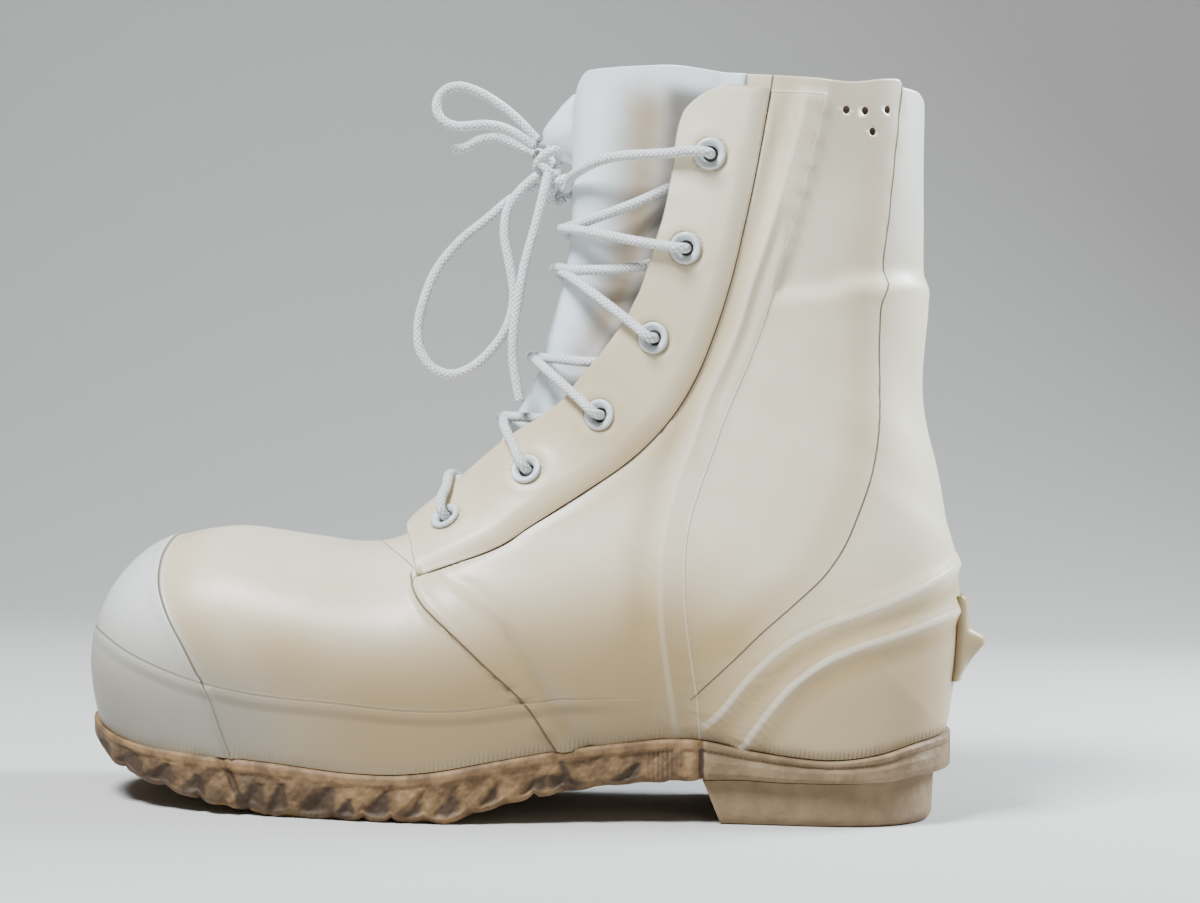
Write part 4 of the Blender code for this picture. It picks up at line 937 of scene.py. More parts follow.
def throat_edge(row):
    """The angle of the throat's edge, and 0 in front of the throat."""
    return np.where(row > THROAT_ROW, steady(THROAT[:, 0], THROAT[:, 1], row), 0.0)


def free_edge(row):
    """The angle of the flap's free edge."""
    return steady(FLAP[:, 0], FLAP[:, 1], row)


def off_line(table, along, across):
    """Millimetres sideways from a line drawn as across against along: the gap over the root of 1 + slope
    squared."""
    at, ahead = curve(table[:, 0], table[:, 1], along), curve(table[:, 0], table[:, 1], along + 0.5)
    return (across - at) / np.sqrt(1 + (2 * (ahead - at)) ** 2)


SEAM_ROWS, SEAM_FAN = np.linspace(7.1, COLLAR_ROW, 160), np.linspace(25, 110, 341)
fan_points = last(SEAM_ROWS[:, None], SEAM_FAN[None, :], LATERAL)
seam_gaps = off_line(STAY_SEAM, fan_points[..., 2], fan_points[..., 0])
FLAP_SEAM = [np.interp(0, gaps, SEAM_FAN) for gaps in seam_gaps]


def flap_seam(row):
    """The angle at which a section meets the flap's seam: where the gap to it, along the section, is
    nought."""
    return np.interp(row, SEAM_ROWS, FLAP_SEAM)


print("flap's seam, from", round(FLAP_SEAM[0], 1), "to", round(FLAP_SEAM[-1], 1), "degrees")

# %% Distances from the seams
def seam_distances(row, angle, point):
    """Millimetres from each seam, less than nought on the side of the upper layer, and how much of it is
    there."""
    x, z = point[..., 0], point[..., 2]
    faint = curve((0, 15, 35, 50), (6.35, 6.6, 7.1, 7.4), angle)
    wave = 0.9 * np.sin(x / 7.1) + 0.6 * np.sin(x / 3.3 + 1) + 0.7 * np.sin(x / 17.0)
    shelf = SHELF_HEIGHT + SHELF_SLOPE * (x - SHELF_X)
    shaft = soft_step(row - THROAT_ROW + 0.2, 0.3)
    everywhere, low_fade = np.ones_like(x), 0.4 + 0.6 * soft_step(z - 95, 90)
    bead_shown = soft_step(z - 34, 16) * soft_step(268 - z, 10) * shaft * low_fade
    return {
        "cap_line": ((row - cap_row(angle)) * CAP_ROW_LENGTH,
                     1 - 0.6 * soft_step(-off_line(BUMPER_TOP, x, z) - 1, 3)),
        "bumper_line": (off_line(BUMPER_TOP, x, z), soft_step(28 - x, 30)),
        "vamp_line": (-off_line(VAMP_SEAM, z, x), soft_step(88 - z, 3) * (row > 3.4)),
        "ridge_line": (off_line(VAMP_RIDGE, z, x), soft_step(84 - z, 14) * (row > 3.4)),
        "bead_line": (off_line(BEAD, z, x), bead_shown),
        "quarter_line": (off_line(QUARTER_REAR, z, x),
                         soft_step(QUARTER_TOP + 0.5 - z, 1) * shaft * low_fade),
        "rear_line": (off_line(REAR_SEAM, z, x), soft_step(z - 46, 2) * shaft),
        "stay_line": (off_line(STAY_SEAM, z, x), soft_step(x + 44.2, 1.5) * soft_step(z - 84, 2)),
        "faint_line": ((row - faint) * ROW_LENGTH, soft_step(40 - angle, 8)),
        "first_rib": (off_line(RIBS[0], x, z), soft_step(x - 61, 7) * shaft),
        "second_rib": (off_line(RIBS[1], x, z), soft_step(x - 73, 6) * shaft),
        "top_line": (z - QUARTER_TOP, soft_step(x - 84, 2) * soft_step(105 - x, 2)),
        "shelf_line": (z - shelf + wave, everywhere),
    }


def two_tables(seams):
    """The seams' distances, and how much of each is there."""
    return ({line: pair[part] for line, pair in seams.items()} for part in (0, 1))

# %% Steps of the upper
def relief(row, point, seams):
    """How far the wall stands out from the last, in millimetres: the layers' steps, soft ridges and hollows
    beside them, and a little unevenness. Each is a height times a soft step or a hump of a seam's
    distance."""
    x, z = point[..., 0], point[..., 2]
    far, shown = two_tables(seams)
    fade = np.clip(row / 3.0, 0, 1)
    out = CAP_RISE * soft_step(-far["cap_line"], 1.2) * fade
    out += BUMPER_RISE * soft_step(-far["bumper_line"], 1.2) * shown["bumper_line"] * fade
    out += 0.9 * hump(far["cap_line"], 2.6) * soft_step(-far["bumper_line"] - 1, 3) * (x < -90)
    # the strip between the vamp's seam and the soft ridge, with a hollow behind it
    low = shown["ridge_line"]
    strip = soft_step(-far["vamp_line"], 1.0) * soft_step(2.0 - far["ridge_line"], 6.0) * low
    out += 2.1 * strip - 1.5 * hump(far["ridge_line"] - 4.5, 5.5) * low
    # the quarter's layer, up to its rear edge and its top, with the soft bead in front of that edge
    quarter = soft_step(far["stay_line"] - 0.6, 1.0) * soft_step(-far["quarter_line"], 1.0)
    quarter = quarter * soft_step(-far["top_line"], 1.0)
    quarter = quarter * np.where(z < 88, soft_step(-far["vamp_line"], 1.0), 1.0) * (row > 7.0) * (x > -60)
    out += QUARTER_RISE * quarter * (1 - 0.9 * strip)
    bead = far["bead_line"]
    out += (1.5 * hump(bead, 3.6) - 1.0 * hump(bead + 5.5, 5.5)) * quarter * np.sqrt(shown["bead_line"])
    for name in ("first_rib", "second_rib"):
        out += (1.3 * hump(far[name], 5.5) + 0.5 * hump(far[name], 2.4)) * shown[name]
    # the shelf where the insulation ends, with a slight lip under it
    behind = soft_step(far["quarter_line"] - 1, 5) * (row > THROAT_ROW) * (z > 120)
    out -= SHELF_DROP * soft_step(far["shelf_line"] + 1.5, 9.0) * behind
    out += 0.45 * hump(far["shelf_line"] + 3.0, 6.0) * behind
    # the rear seam's groove, and the strip behind it
    out -= 0.3 * hump(far["rear_line"], 0.9) * shown["rear_line"]
    out += 0.5 * hump(far["rear_line"] - 9.0, 9.0) * soft_step(z - 205, 14) * (row > THROAT_ROW)
    calm = soft_step(far["stay_line"] - 1, 8) + (row < 7.0)
    return out + (0.30 * waves(point, 75.0, 4) + 0.10 * waves(point, 24.0, 5)) * fade * np.clip(calm, 0, 1)


def wall(row, angle, point):
    """The wall's thickness: the insulation ends at the shelf and short of the throat."""
    x, z = point[..., 0], point[..., 2]
    shelf = 188.6 + 0.154 * (x - SHELF_X)
    beside = (angle - throat_edge(row)) * 0.8
    below = np.hypot(np.maximum(THROAT_ROW - row, 0) * 15, np.maximum(angle - 35, 0) * 0.9)
    padded = soft_step(np.where(row > THROAT_ROW, beside, below) - 12, 18) * soft_step(shelf - z, 12)
    return WALL_THIN + (WALL_THICK - WALL_THIN) * padded


print("the wall is", WALL_THIN, "to", WALL_THICK, "mm thick")

# %% [markdown]
# ## The upper
#
# The upper is one closed wall. A grid on each side runs from the toe tip to the collar, and its lines
# follow the throat, the strip's top edge and the toe cap's seam, because a step is only crisp where the
# grid's lines run along it. The inner skin is the same grid moved in by the wall's thickness, and rims
# close the throat, collar and sole. Near the collar are four small vents. A boolean cuts them as blind
# holes, and a boolean is the better way here, because a grid with holes of its own would have to bend all
# its lines round them.

# %% The upper's grid
def spread(*spans):
    """Rows over spans given as start, end and step, with each span's own end left to the next."""
    parts = [np.arange(a, b - 1e-6, step) for a, b, step in spans]
    return np.concatenate(parts + [[spans[-1][1]]])


UPPER_ROWS = spread(
    (0, 0.6, 0.06), (0.6, 3.2, 0.1), (3.2, 3.52, 0.02), (3.52, THROAT_ROW, 0.1),
    (THROAT_ROW, 7.5, 0.025), (7.5, 7.8, 0.05), (7.8, HEEL_ROW, 0.1), (HEEL_ROW, COLLAR_ROW, 0.075),
)
BUMPER_COLUMN = 0.52
UPPER_COLUMNS = np.concatenate([np.linspace(0, 0.50, 38)[:-1], np.linspace(0.50, 0.54, 9)[:-1],
                                np.linspace(0.54, 1, 34)])
# the row of the cap's seam, and how many rows to each side bend to follow it
SEAM_ROW, SEAM_REACH = 3.36, 1.7


def bumper_angle(row):
    """Where the strip's top edge crosses a section, so that a line of the mesh follows it."""
    return curve((0, 1.2, 1.8, 2.6, 3.7, 4.3, 5.5, 6.5, 7.3, 8.1, 9.0, 11.0, 19.0),
                 (90, 62, 62, 81, 96.5, 100, 95, 96, 102.5, 106.5, 112, 104, 90), row)


def upper_places():
    """The row and angle of every point of the grid. Along a section the angles run evenly from the throat's
    edge to the strip's and on to the sole, and rows near the cap's seam are shifted to it, less and less
    with distance."""
    row = np.repeat(UPPER_ROWS[:, None], len(UPPER_COLUMNS), axis=1)
    edge, middle, share = throat_edge(row), bumper_angle(row), UPPER_COLUMNS[None, :]
    above = edge + (middle - edge) * share / BUMPER_COLUMN
    below = middle + (180 - middle) * (share - BUMPER_COLUMN) / (1 - BUMPER_COLUMN)
    nearness = np.clip(1 - np.abs(row - SEAM_ROW) / SEAM_REACH, 0, 1)
    angle = np.where(share <= BUMPER_COLUMN, above, below)
    return row + (cap_row(angle) - SEAM_ROW) * nearness, angle


def vertex_normals(points, faces):
    """Each point's normal: the cross products of the diagonals of the faces round it, added up."""
    a, b, c, d = (points[faces[:, i]] for i in range(4))
    area = np.cross(c - a, d - b)
    total = np.zeros_like(points)
    for i in range(4):
        np.add.at(total, faces[:, i], area)
    return total / np.maximum(np.linalg.norm(total, axis=1, keepdims=True), 1e-12)


upper_row, upper_angle = upper_places()
print("upper grid:", upper_row.shape)

# %% Turned parts and cuts
def turned(name, profile, sides, matrices, looks):
    """One mesh with a copy of a closed turned profile at each matrix."""
    turn = np.arange(sides) * 2 * math.pi / sides
    rings = np.stack([np.outer(np.cos(turn), profile[:, 0]), np.outer(np.sin(turn), profile[:, 0]),
                      np.tile(profile[:, 1], (sides, 1))], -1) * MM
    index = np.arange(rings.shape[0] * rings.shape[1]).reshape(rings.shape[:2])
    index = np.concatenate([index, index[:1]])
    index = np.concatenate([index, index[:, :1]], axis=1)
    flat, faces = rings.reshape(-1, 3), grid_faces(index)
    points = [flat @ np.array(m.to_3x3()).T + np.array(m.translation) for m in matrices]
    quads = [faces + len(flat) * i for i in range(len(matrices))]
    return build(name, np.concatenate(points), np.concatenate(quads), (), looks)


def rod(radius, low, high):
    """The profile of a plain round rod, from one height to another. It starts just off the axis."""
    return np.array([(0.001, low), (radius, low), (radius, high), (0.001, high)])


def cut_by(piece, tool):
    """Cuts the tool out of the piece with an applied boolean, gives the cut the tool's look, and drops the
    tool."""
    step = piece.modifiers.new("holes", "BOOLEAN")
    step.operation, step.solver, step.object, step.material_mode = "DIFFERENCE", "EXACT", tool, "TRANSFER"
    cut = bpy.data.meshes.new_from_object(piece.evaluated_get(bpy.context.evaluated_depsgraph_get()))
    old, piece.data = piece.data, cut
    piece.modifiers.clear()
    bpy.data.objects.remove(tool)
    bpy.data.meshes.remove(old)

# %% Trimming the upper, its stains and its painted light
def collar_trim(point, side):
    """The collar's edge: cut a little lower over the outer side, with a rounded corner behind the rear
    seam."""
    x, z = point[..., 0], point[..., 2]
    near = soft_step(z - 262, 20)
    outer = 3.6 * soft_step(x - 62, 34) * soft_step(124 - x, 22) * (1.0 if side < 0 else 0.4)
    corner = 2.6 * soft_step(x - 135.6, 1.6) + 5.0 * np.clip((x - 141.5) / 7, 0, 1) ** 2
    return point - np.stack([0 * x, 0 * x, near * (outer + corner)], -1)


def stains(row, point, seams):
    """Stains, painted light and shade, and the mould's ticks, each from 0 to 1: yellowing along the seams,
    which is also painted shade low down and beside the bead and ribs; dark patches, of dirt and of painted
    shade; painted shade from the sole, in tan and, at the toe, in grey, which also greys the shaft above the
    shelf and near the top; a painted cool reflection on the toe cap and a painted highlight behind the rear
    seam; and the mould's ticks (knurl). Each is a sum of soft steps and humps of the height over the sole and
    of the seams' distances."""
    x, z = point[..., 0], point[..., 2]
    far, shown = two_tables(seams)
    over_sole = z - sole_line(x)
    shaft, toe = soft_step(row - THROAT_ROW, 0.5), soft_step(-85 - x, 60)
    region = 0.35 + 0.65 * soft_step(x + 115, 50) * (0.55 + 0.45 * soft_step(70 - x, 50))
    # painted shade: darker and warmer towards the sole; the waves are uneven tone
    warmth = 0.20 + 0.76 * soft_step(52 - over_sole, 60) * region + 0.16 * waves(point, 60.0, 11)
    # yellowing beside the cap's, rear and stay seams, painted shade in front of the bead and between the
    # ribs, and a less yellow toe cap
    warmth += 0.25 * hump(far["cap_line"] - 5, 16)
    warmth += 0.26 * hump(far["bead_line"] + 7, 12) * (z > 40) * soft_step(190 - z, 140) * shaft
    beside_rear = 0.26 * hump(far["rear_line"] + 6, 12) * (z > 60) * shaft
    warmth += beside_rear + 0.26 * hump(far["stay_line"] - 4, 9) * shaft
    beside_rib = 0.35 * hump(far["first_rib"] + 6, 6) * shown["first_rib"]
    warmth += beside_rib + 0.3 * hump(far["second_rib"] + 6, 6) * shown["second_rib"]
    warmth -= 0.35 * soft_step(-far["cap_line"], 4)
    # dark patches: darker just above the sole and over the strip's edge, painted shade in the hollow behind
    # the vamp's ridge, and a scuff beside the quarter's edge
    over_bumper = 0.35 * hump(far["bumper_line"] - 0.8, 3) * shown["bumper_line"]
    soil = 0.75 * soft_step(5 - over_sole, 10) + over_bumper
    soil += 0.75 * hump(far["ridge_line"] - 4.5, 7) * shown["ridge_line"] * soft_step(80 - z, 30)
    soil += 0.2 * hump(far["quarter_line"] - 1.4, 3) * shaft
    ticked = np.clip(soft_step(x + 48, 30) + soft_step(-90 - x, 40), 0, 1)
    # painted shade: darker and tan towards the sole, with a darker line right at it
    tanned = 0.95 * soft_step(43 - over_sole, 54) * (1 - 0.6 * toe) * (1 - 0.5 * soft_step(x - 60, 30))
    tanned = np.clip(tanned + 0.4 * soft_step(2.5 - over_sole, 4), 0, 1)
    # a painted highlight on the strip behind the rear seam near the top; above the shelf and near the top the
    # shaft is greyer
    rear_strip = soft_step(far["rear_line"] - 1, 3) * soft_step(z - 215, 40) * shaft
    greyed_top = 0.16 * soft_step(far["shelf_line"] - 4, 12) + 0.14 * soft_step(z - 235, 30)
    greyed_top = greyed_top * (far["quarter_line"] > 0) * shaft
    # a painted cool reflection on the upper part of the toe cap
    clean_cap = 0.6 * soft_step(-far["cap_line"] + 1, 8) * soft_step(over_sole - 28, 40)
    # the grey on the low toe is painted shade; above the shelf and near the top the shaft is only greyer
    return {"warmth": np.clip(warmth, 0, 1), "soil": np.clip(soil, 0, 1), "tanned": tanned,
            "dulled": 0.9 * soft_step(34 - over_sole, 40) * toe + greyed_top * (1 - rear_strip),
            "clean": clean_cap + 0.45 * rear_strip, "knurl": hump(over_sole - 1.4, 2.8) * ticked}


collar_back = collar_trim(last(COLLAR_ROW, 175.0, LATERAL), LATERAL)
print("collar's height at its back:", round(float(collar_back[2]), 1))

# %% The upper's skins and rims
NO_SEAM = 9.0  # a distance in millimetres at which no seam shows


def number_halves(rows, columns, throat, heel):
    """Point numbers of both halves of the upper. They share their points at the toe's tip, along the vamp
    in front of the throat, and up the back of the heel."""
    index = {LATERAL: np.arange(rows * columns).reshape(rows, columns)}
    shared = np.zeros((rows, columns), bool)
    shared[0, :] = shared[: throat + 1, 0] = shared[heel:, -1] = True
    index[MEDIAL] = np.where(shared, index[LATERAL], index[LATERAL] + rows * columns)
    return index


def skin(points, index, heel):
    """The outer skin's faces, and its normals: turned out, and level along the sole line and the collar, so
    that the rims there stay flat."""
    faces = np.concatenate([grid_faces(index[LATERAL]), grid_faces(index[MEDIAL])[:, ::-1]])
    normals = vertex_normals(points, faces)
    for side in (LATERAL, MEDIAL):
        normals[index[side][: heel + 1, -1], 2] = 0
        normals[index[side][-1, :], 2] = 0
    normals /= np.maximum(np.linalg.norm(normals, axis=1, keepdims=True), 1e-9)
    rows, columns = index[LATERAL].shape
    sample = index[LATERAL][rows // 3, columns // 2]
    turned_in = (points[sample] - points.mean(axis=0)) @ normals[sample] < 0
    return faces, -normals if turned_in else normals


def close_wall(outer_faces, index, inside, throat, heel):
    """The outer skin's faces, the inner skin's, and rims between the two along the sole, the throat and the
    collar."""
    faces = [outer_faces, grid_faces(inside[LATERAL])[:, ::-1], grid_faces(inside[MEDIAL])]
    for side in index:
        rims = [strip_faces(index[side][line], inside[side][line])
                for line in (np.s_[: heel + 1, -1], np.s_[throat:, 0], np.s_[-1, :])]
        rims = np.concatenate(rims)
        faces.append(rims if side == LATERAL else rims[:, ::-1])
    return np.concatenate(faces)

# %% The upper's wall
def make_upper(row, angle):
    """The outer skin stands out from the last by the relief, and the inner one lies in by the wall's
    thickness, both along the last's own normals. Every seam's distance, every stain and every painted shade
    and highlight is painted on the outer skin."""
    rows, columns = row.shape
    throat, heel = (np.searchsorted(UPPER_ROWS, at - 1e-9) for at in (THROAT_ROW, HEEL_ROW))
    index = number_halves(rows, columns, throat, heel)
    points = np.zeros((2 * rows * columns, 3))
    proud, thick, fields = np.zeros(len(points)), np.zeros(len(points)), {}
    for side in (MEDIAL, LATERAL):
        at = last(row, angle, side)
        seams = seam_distances(row, angle, at)
        points[index[side]] = collar_trim(at, side)
        proud[index[side]] = relief(row, at, seams)
        thick[index[side]] = wall(row, angle, at)
        far, shown = two_tables({line: seams[line] for line in LINES})
        shown = {line + "_shown": share for line, share in shown.items()}
        for field, values in {**far, **shown, **stains(row, at, seams)}.items():
            fields.setdefault(field, np.zeros(len(points)))[index[side]] = values
    faces, normals = skin(points, index, heel)
    outer, inner = points + normals * proud[:, None], points - normals * thick[:, None]
    inside = {side: numbers + len(points) for side, numbers in index.items()}
    used, numbered = np.unique(close_wall(faces, index, inside, throat, heel), return_inverse=True)
    both_skins = stand(np.concatenate([outer, inner])[used])
    piece = build("upper_rubber", both_skins, numbered.reshape(-1, 4), (), [upper_rubber])
    for field, values in fields.items():
        lining_value = np.full(len(points), NO_SEAM if field in LINES else 0.0)
        paint(piece, **{field: np.concatenate([values, lining_value])[used]})
    paint(piece, lining=np.repeat((0.0, 1.0), len(points))[used])
    return piece


upper = make_upper(upper_row, upper_angle)
print("upper before its vents:", len(upper.data.polygons), "faces")

# %% The vents
VENTS = ((113.3, 259.7), (120.6, 260.0), (129.6, 261.4), (123.6, 252.8))  # x height
VENT_RADIUS, VENT_DEPTH, TOOL_REACH = 1.45, 3.1, 4.0
WALK_STEPS = 12


def place_at(x, height, side):
    """The row and angle of the last's point at this x and height. It starts near the collar and walks over
    the last: each step solves the two small slopes for what is still missing in x and in height."""
    row, angle = 18.3, 100.0
    for _ in range(WALK_STEPS):
        at = last(row, angle, side)
        ahead, round_it = last(row + 0.01, angle, side) - at, last(row, angle + 0.1, side) - at
        slopes = [[ahead[0], round_it[0]], [ahead[2], round_it[2]]]
        steps = np.linalg.solve(slopes, [x - at[0], height - at[2]])
        row, angle = row + 0.01 * steps[0], angle + 0.1 * steps[1]
    return float(row), float(angle)


spots = [place_at(x, height, LATERAL) for x, height in VENTS]
vents = [facing(outward(*spot, LATERAL), last(*spot, LATERAL)) for spot in spots]
pin = rod(VENT_RADIUS, -VENT_DEPTH, TOOL_REACH)
# the holes' walls and floor take the dark rubber that paints their shade
cut_by(upper, turned("vent_tool", pin, 24, vents, [vent_rubber]))
dress(upper, "white_rubber", "upper")

# %% [markdown]
# ## Outsole, heel and insole
#
# The sole is a ladder of rings. Each ring goes round one station: down the inner side, across the bottom and
# up the outer side. Its side has a smooth strip at the top, and under it triangular hollows, darkened with
# painted shade, which are the open ends of the zigzag grooves. The bottom's height has the same grooves, as
# the distance to the nearest zigzag line, and they too are painted darker. Cutting every groove with a
# boolean would take a hundred tools, and a height over a grid takes none.

# %% The sole's shape
SOLE_GAP, CLEAT_DEPTH, CLEAT_PITCH, GROOVE_WIDTH = 0.45, 4.5, 15.0, 6.0
ZIGZAG_REACH, ZIGZAG_STEP, FIRST_GROOVE_X, GROOVES = 3.5, 11.0, -151.0, 14


def zigzag(y):
    """A triangle wave across the sole: +1 at even steps and -1 at odd ones."""
    return 2 * np.abs(np.mod(y / ZIGZAG_STEP, 2) - 1) - 1


def groove_share(x, y):
    """1 in a groove and 0 on a cleat, with a soft wall between them."""
    number = np.clip(np.round((x - ZIGZAG_REACH * zigzag(y) - FIRST_GROOVE_X) / CLEAT_PITCH), 0, GROOVES - 1)
    away = np.abs(x - ZIGZAG_REACH * zigzag(y) - FIRST_GROOVE_X - CLEAT_PITCH * number)
    return soft_step(GROOVE_WIDTH / 2 - away, 1.6)


# the hollows along the side, darkened with painted shade: x, half width, lean, height of the point as a share
# down from the top
HOLLOWS = np.array([
    (-161, 4.0, 0.6, 0.45), (-150, 5.5, 0.9, 0.30), (-138, 6.0, 1.0, 0.36), (-124, 5.0, 0.7, 0.46),
    (-103, 5.0, 1.0, 0.42), (-92, 3.5, 0.6, 0.34), (-79, 6.5, 0.9, 0.32), (-67, 3.5, 0.5, 0.50),
    (-57, 6.0, 0.8, 0.30), (-44, 4.5, 1.0, 0.38), (-32, 6.0, 0.7, 0.30), (-18, 4.5, 1.2, 0.42),
    (-4, 6.0, 1.4, 0.48), (14, 7.0, -1.2, 0.50), (30, 5.0, 1.4, 0.55),
])


def side_hollows(x, place):
    """How deep the side is at these places, from 0 to 1: triangles that stand on the bottom edge, each with
    its own width, lean and height."""
    deep = np.zeros_like(x)
    for centre, half, lean, point in HOLLOWS:
        down = np.clip((place - point) / (1 - point), 0, 1)
        away = np.abs(x - centre - lean * half * (1 - down)) / half
        deep = np.maximum(deep, soft_step(down * 1.15 - away, 1.2) * (down > 0))
    return deep * (1 - 0.85 * soft_step(place - 0.86, 0.16))


print("grooves:", GROOVES, "side hollows:", len(HOLLOWS))

# %% The sole's side
SOLE_FRONT_X, SOLE_BACK_X, TAB_X, RIBBING_X, RIBBING_PITCH = -168, 156, 57.0, 46, 1.7
# share of the way down the side, and how many millimetres it stands out there
FORE_PROFILE = ((0, 0.03, 0.08, 0.20, 0.27, 0.55, 0.90, 1.0), (0.5, 1.2, 1.6, 1.6, 0.9, 0.8, 0.3, -1.6))
BAND_PROFILE = ((0, 0.04, 0.10, 0.19, 0.26, 0.5, 0.8, 0.94, 1.0),
                (0.2, 1.5, 1.7, 1.5, 0.5, 1.5, 1.4, 0.4, -2.4))


def sole_stations():
    """Where the rings stand along the sole: evenly, and closer and closer towards both rounded ends."""
    x = np.concatenate([SOLE_FRONT_X + 12.4 * eased(34), np.arange(-155.1, BREAST_X - 2, 0.55),
                        np.arange(BREAST_X - 2, 145, 0.9), SOLE_BACK_X - 11 * eased(34)[::-1]])
    x = np.unique(x.round(3))
    return x[np.concatenate([[True], np.diff(x) > 0.02])]


def sole_side(side, station, place, height, behind, side_out, rim_fade):
    """One side's half width and how dark it is, from 0 to 1. The half width is the profile's, less the
    hollows, with crumbly unevenness, two creases with a lump beside them, the light upright tab in front of
    the heel band, fine ribbing before it and the slit behind it. The darkness is painted shade: in the
    hollows, the creases, the slit, the ribbing and the ticked groove under the band's strip, and broadly
    towards the toe and behind the waist, less on the tab."""
    tab, slit = hump(station - TAB_X, 3.6) * (1 - behind), hump(station - BREAST_X + 0.6, 1.1)
    hollow = np.clip(side_hollows(station, place) * (1 - behind) - tab, 0, 1)
    ribbing = (0.5 + 0.5 * np.sin(station * 2 * math.pi / RIBBING_PITCH)) * hump(station - RIBBING_X, 9)
    ribbing = ribbing * soft_step(place - 0.2, 0.2)
    crumb = np.where(behind > 0.5, 0.25, 1.0) * soft_step(place - 0.24, 0.1)
    there = np.stack([station, side * 40 + 0 * station, height], -1)
    uneven = 1.3 * waves(there, 12.0, 21) + 0.7 * waves(there, 5.0, 23)
    toe_crease, waist_crease = station + 108.5 - 9 * (place - 0.4), station - 8.0 - 6 * place
    lump = 1.6 * hump(station + 117 - 6 * (place - 0.4), 8) - 1.3 * hump(toe_crease, 3)
    lump = lump - 1.0 * hump(waist_crease, 2.6)
    out = side_out - 1.4 * hollow * rim_fade + uneven * crumb * rim_fade + lump * rim_fade * (1 - behind)
    out = np.maximum(out + (1.2 * tab - 0.25 * ribbing - 1.2 * slit) * rim_fade, 0.1)
    # painted shade in the groove under the band's strip, the hollows, creases, slit and ribbing, and broadly
    # towards the toe and behind the waist
    under_strip = 0.9 * hump(place - 0.245, 0.07) * (0.6 + 0.4 * np.sin(station * 2 * math.pi / 2.1)) * behind
    crease = 0.6 * hump(toe_crease, 2.2) + 0.5 * hump(waist_crease, 2.0)
    shade = 0.16 + 0.46 * soft_step(-62 - station, 30) + 0.40 * soft_step(station - 5, 20)
    shade = shade * soft_step(place - 0.24, 0.06)
    fore = hollow * (0.85 + 0.4 * waves(there, 9.0, 24)) + shade * (1 - behind) + crease * (1 - behind)
    return out, np.clip(fore + under_strip + slit + 0.3 * ribbing - 0.3 * tab, 0, 1)


print("rings of the sole:", len(sole_stations()))

# %% The outsole
def sole_bottom(x, middle, edge, foot, under):
    """The underside's points, and where they lie in a groove. Its height is the scalloped edge's at the rim
    and the underside's elsewhere, plus the grooves' depth."""
    across = np.linspace(1, -1, 74)[1:-1]
    y = middle[:, None] + across[None, :] * edge[:, None]
    grid_x = np.repeat(x[:, None], len(across), axis=1)
    cut = groove_share(grid_x, y) * (grid_x < BREAST_X - 2)
    rim = soft_step(1 - np.abs(across), 0.16)[None, :]
    roof = np.maximum(foot, 0)[:, None] * (1 - rim) + under[:, None] * rim
    roof = roof + CLEAT_DEPTH * cut + 0.25 * waves(np.stack([grid_x, y, 0 * y], -1), 14.0, 22)
    return np.stack([grid_x, y, np.maximum(roof, 0.0)], -1), cut


def make_outsole():
    """Rings of the inner side, the bottom and the outer side at every station, closed into one body. Behind
    the heel's breast the side changes from the forepart's profile to the band's, and takes the band's
    finish."""
    x = sole_stations()
    behind = soft_step(x - BREAST_X, 1.6)[:, None]
    top, under = sole_line(x) - SOLE_GAP, under_line(x)
    down = [np.linspace(0, 0.1, 5), np.linspace(0.1, 0.9, 31)[1:], np.linspace(0.9, 1.0, 6)[1:]]
    down = np.concatenate(down)
    place, station = np.meshgrid(down, x)
    middle, half = plan(x, 1.0)
    fore, band = np.interp(down, *FORE_PROFILE), np.interp(down, *BAND_PROFILE)
    profile = band[None, :] * behind + fore[None, :] * (1 - behind)
    side_out = half[:, None] + (profile - 1.0) * np.clip(half / 12, 0, 1)[:, None]
    # the forepart's lower edge is scalloped
    lobes = 1 - np.abs(np.sin(x * math.pi / 12.3 + 0.6 * np.sin(x / 9.0)))
    foot = under + (1 - behind[:, 0]) * 2.0 * lobes**1.5 * soft_step(x + 158, 20)
    height = top[:, None] - place * (top - np.maximum(foot, 0))[:, None]
    rim_fade = np.clip(half / 30, 0, 1)[:, None]
    lines, deep = {}, {}
    for side in (MEDIAL, LATERAL):
        out, deep[side] = sole_side(side, station, place, height, behind, side_out, rim_fade)
        lines[side] = np.stack([station, middle[:, None] + side * out, height], -1)
    edge = np.abs(lines[MEDIAL][:, -1, 1] - middle)
    bottom, cut = sole_bottom(x, middle, edge, foot, under)
    rings = np.concatenate([lines[MEDIAL], bottom, lines[LATERAL][:, ::-1]], axis=1)
    piece = ladder("outsole_rubber", stand(rings), [tread_rubber, band_rubber])
    # painted shade in the side's hollows and creases and on the floors of the bottom's grooves
    paint(piece, deep=np.concatenate([deep[MEDIAL], 0.15 + 0.85 * cut, deep[LATERAL][:, ::-1]], axis=1))
    of_band = np.repeat(x[:-1] > BREAST_X - 0.5, rings.shape[1])
    piece.data.polygons.foreach_set("material_index", np.concatenate([of_band.astype(np.int32), [0, 1]]))
    return piece


dress(make_outsole(), "tread_rubber", "outsole")

